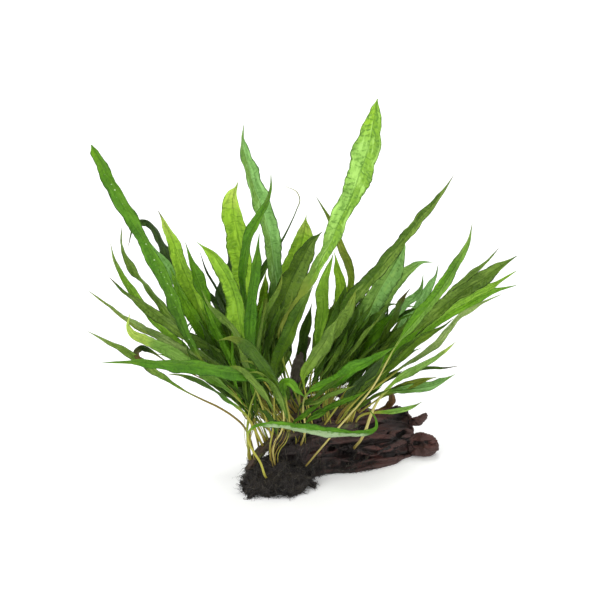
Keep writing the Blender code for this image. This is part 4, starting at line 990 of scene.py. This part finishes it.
# how far the dense part reaches from the foot of the plant, by the angle from its right in degrees
FOOT = (-7.5, 25.0)
DENSE = ((-5, 18), (8, 30), (18, 52), (23, 63), (30, 78), (36, 98), (44, 98), (49, 84), (56, 88), (62, 95),
         (67, 82), (74, 72), (77, 60), (81, 64), (88, 88), (99, 76), (104, 82), (115, 73), (122, 80), (126, 82),
         (133, 84), (136, 74), (143, 72), (147, 60), (150, 34), (154, 24), (170, 20), (185, 10))
fill_tones = (
    ("dark", DARK, DARK, NIGHT, STALK_GREEN, "leaf_dark"),
    ("deep", MOSSY, DARK, NIGHT, STALK_GREEN, "leaf_dark"),
    ("mid", MID, MOSSY, DARK, STALK_OLIVE, "leaf_mid"),
    ("fresh", FRESH, MID, DEEP, STALK_OLIVE, "leaf_mid"),
    ("olive", OLIVE, DULL_GREEN, DARK, STALK_BROWN, "leaf_olive"),
)
random = np.random.default_rng(21)


def beside(rows, swing, twist, share, narrow, shift):
    """The line of a shorter frond next to another, swung about its base."""
    turned = np.array(Matrix.Rotation(swing, 3, LOOK) @ Matrix.Rotation(twist, 3, "Z"))
    other = rows.copy()
    other[:, :3] = rows[0, :3] + np.array(shift) * MM + (rows[:, :3] - rows[0, :3]) @ turned.T * share
    other[:, 3:6] = rows[:, 3:6] @ turned.T
    other[:, 6:9] = rows[:, 6:9] @ turned.T
    other[:, 9] = rows[:, 9] * narrow
    return other


def in_the_dense(rows):
    """Whether a frond's line stays in the dense part and leaves open the gaps that light comes through."""
    seen = picture_of(along(rows, np.linspace(0.1, 1.0, 60))[:, :3])
    far = np.hypot(*(seen - FOOT).T)
    angle = np.degrees(np.arctan2(seen[:, 1] - FOOT[1], seen[:, 0] - FOOT[0]))
    inside = np.all((far < np.interp(angle, *zip(*DENSE))) | (far < 22.0))
    return inside and all(np.min(np.hypot(*(seen - (x, up)).T)) > room for x, up, room in GAPS)


heart = {tone[0]: [] for tone in fill_tones}


def fill(names, count, share, narrow, around, step):
    """Grows a number of companions beside each named frond, within the dense part."""
    for name in names:
        done = 0
        for attempt in range(count * 8):
            swing = math.radians(random.uniform(1.0, 10.0)) * random.choice((-1.0, 1.0))
            rows = beside(lines[name], swing, math.radians(random.uniform(-16, 16)),
                          random.uniform(*share) * (1.0 - 0.05 * attempt / count),
                          random.uniform(*narrow), (random.uniform(-2.5, 2.5), random.uniform(-1.0, 2.0), 0.0))
            tone = fill_tones[random.integers(len(fill_tones))][0]
            if done < count and in_the_dense(rows):
                heart[tone].append(
                    blade(f"{name}_{tone}_{len(heart[tone])}", rooted(rows), around=around, step=step))
                done += 1


fill(HEART, COMPANIONS, (0.45, 0.9), (0.4, 0.75), 16, 1.9)
fill(HEART, YOUNG, (0.3, 0.75), (0.25, 0.5), 12, 2.4)
fill(OUTER, YOUNG, (0.4, 0.85), (0.3, 0.55), 12, 2.4)
for tone, tip, body, base, stalk, slot in fill_tones:
    pick(*heart[tone])
    bpy.ops.object.join()
    group = bpy.context.object
    group.name = "heart_fronds_" + tone
    group.data.materials.clear()
    group.data.materials.append(blade_finish("skin_heart_" + tone, tip, body, base, stalk, 0.35, 80.0))
    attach(group, "root")

# Thin, dead and half-grown fronds: withered brown or black ones that still hang on, and slim young
# ones, each drawn from its root on a rhizome or the wood along its line in the front view.


def in_picture(x, up, depth):
    """The place at a depth, in millimetres along Y, that the front view shows at x and up."""
    across = up
    for _ in range(3):
        away = (depth - across * UP.y) / LOOK.y
        spread = 1.0 + away * MM / CAMERA_DISTANCE
        across = VIEW_MIDDLE + (up - VIEW_MIDDLE) * spread
    return np.array((x * spread, depth, across * UP.z + away * LOOK.z)) * MM


def depth_at_carrier(x, up, wished):
    """The depth, not too far from the one wished for, at which a spot of the front view nears a carrier."""
    depths = wished + np.arange(-DEPTH_REACH, DEPTH_REACH, 0.5)
    costs = [carriers.find_nearest(Vector(in_picture(x, up, depth)))[3] / MM + DEPTH_STAY * abs(depth - wished)
             for depth in depths]
    return depths[int(np.argmin(costs))]


DEPTH_REACH = 30.0
DEPTH_STAY = 0.25
LONG_ROOT = 3.0


def drawn_line(spots, depths):
    """The line of a frond drawn in the front view, from (x, up, half width) spots and depths of its ends.

    Its base lies under the skin of the nearest carrier. Where that is farther off than a short root
    reaches, the stalk runs on to it from the first spot.
    """
    base = depth_at_carrier(*spots[0][:2], depths[0])
    deep = np.linspace(base, depths[1], len(spots))
    centre = [in_picture(x, up, depth) for (x, up, _), depth in zip(spots, deep)]
    halves = [half * MM for *_, half in spots]
    *_, start = skin_near(centre[0])
    if np.linalg.norm(start - centre[0]) > LONG_ROOT * MM:
        centre.insert(0, start)
        halves.insert(0, halves[0])
    centre[0] = start
    way = unit(np.gradient(np.array(centre), axis=0))
    facing = unit(-np.array(LOOK) + 0.0 * way)
    across = unit(np.cross(way, facing))
    return np.column_stack((centre, across, np.cross(across, way), halves))


SMALL_FRONDS = {
    "withered_loop": (DEAD, NIGHT, DARK, STALK_BROWN, (-6, -34), dict(wave=0.2, edge=0.6),
                      ((-26, 30, 0.6), (-32, 40, 0.6), (-44, 48, 0.6), (-58, 55, 0.6), (-68, 60, 0.6), (-73, 63.5, 1.0),
                       (-77, 65.5, 1.4), (-80, 65.8, 1.6), (-82, 63.5, 2.0), (-80.8, 61, 1.7), (-77.5, 59, 0.5))),
    "withered_leaf": (DEAD, DEAD, DEAD, STALK_BROWN, (16, 10), dict(wave=0.8, ragged=0.2, edge=0.8),
                      ((33, 28, 0.7), (37, 33, 0.7), (40, 35.5, 0.8), (43.5, 37, 1.4), (45.5, 40, 1.9), (45.4, 43, 1.5),
                       (44.6, 47, 0.4))),
    "black_strand_left": (NIGHT, NIGHT, NIGHT, STALK_BROWN, (4, 6), dict(wave=0.2, edge=0.9, ragged=0.2),
                          ((-16, 38, 0.6), (-27, 62, 0.6), (-36, 84, 0.9), (-41, 94, 0.7), (-47, 105, 0.6),
                           (-50, 114, 0.3))),
    "black_strand_right": (DEAD, DARK, DARK, STALK_BROWN, (8, -6), dict(wave=0.2, edge=0.9, ragged=0.2),
                           ((22, 34, 0.6), (33, 42, 0.6), (44, 50, 0.7), (54, 54.5, 0.8), (64, 56, 0.8), (72, 56, 0.6),
                            (79, 57, 0.3))),
    "thin_dark": (DARK, DARK, NIGHT, STALK_GREEN, (24, 16), dict(wave=0.3),
                  ((-1, 36, 0.8), (0, 50, 1.0), (0.7, 60, 2.2), (1.5, 71, 2.4), (3, 77.5, 2.3), (4.5, 82.5, 1.6),
                   (6, 88.5, 0.3))),
    "slim_olive": (OLIVE, OLIVE, OLIVE, STALK_OLIVE, (9, 0), dict(wave=0.3),
                   ((30, 33, 0.8), (37, 39, 0.8), (45, 44, 1.4), (52.5, 46.5, 2.0), (59, 49, 2.0), (64, 50.5, 1.2),
                    (68.5, 51.5, 0.3))),
    "lime_heart": (TIP_LIME, YELLOW_GREEN, MID, STALK_OLIVE, (12, 8), dict(wave=0.3, edge=0.1),
                   ((-12, 38, 0.8), (-17, 60, 0.8), (-18.5, 76, 2.4), (-18.5, 86, 3.0), (-18, 96, 2.6),
                    (-17, 104, 0.3))),
    "dark_oval": (DARK, DARK, DARK, STALK_GREEN, (-10, -18), dict(wave=0.3, edge=0.4),
                  ((-14, 26, 0.8), (-12, 33, 1.0), (-10, 39, 3.0), (-8, 45, 3.4), (-5.5, 50, 0.4))),
    "bright_between": (FRESH, FRESH, MID, STALK_OLIVE, (2, -8), dict(wave=0.5),
                       ((-25, 40, 0.8), (-38, 60, 1.6), (-50, 76, 3.2), (-57, 88, 3.2), (-62, 99, 2.2), (-65, 106, 0.4))),
    "grey_low_left": (GREY_GREEN, GREY_GREEN, DULL_GREEN, STALK_OLIVE, (-20, -34), dict(wave=0.8, ragged=0.16),
                      ((-24, 32, 0.8), (-38, 48, 1.2), (-52, 60, 2.4), (-64, 68, 2.6), (-74, 74, 2.0), (-80, 78, 0.4))),
    "pale_low_left": (YELLOW_GREEN, GRASS, MID, STALK_OLIVE, (-12, -30), dict(wave=0.5),
                      ((-22, 34, 0.8), (-36, 48, 0.9), (-48, 56, 2.0), (-58, 60, 2.2), (-66, 62, 1.4),
                       (-71, 63, 0.3))),
}
for name, (tip, body, base, stalk, depths, more, spots) in SMALL_FRONDS.items():
    rows = drawn_line(spots, depths)
    leaf = blade(name, rows, around=16, even=0.0, **{key: value for key, value in more.items() if key in SHAPE_WORDS})
    leaf.data.materials.append(blade_finish(
        "skin_" + name, tip, body, base, stalk, blade_starts(rows), length_of(rows) / MM,
        **{key: value for key, value in more.items() if key not in SHAPE_WORDS}))
    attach(leaf, "root")
    "leaf_dark" if body in (NIGHT, DARK, DEAD) else "leaf_mid"
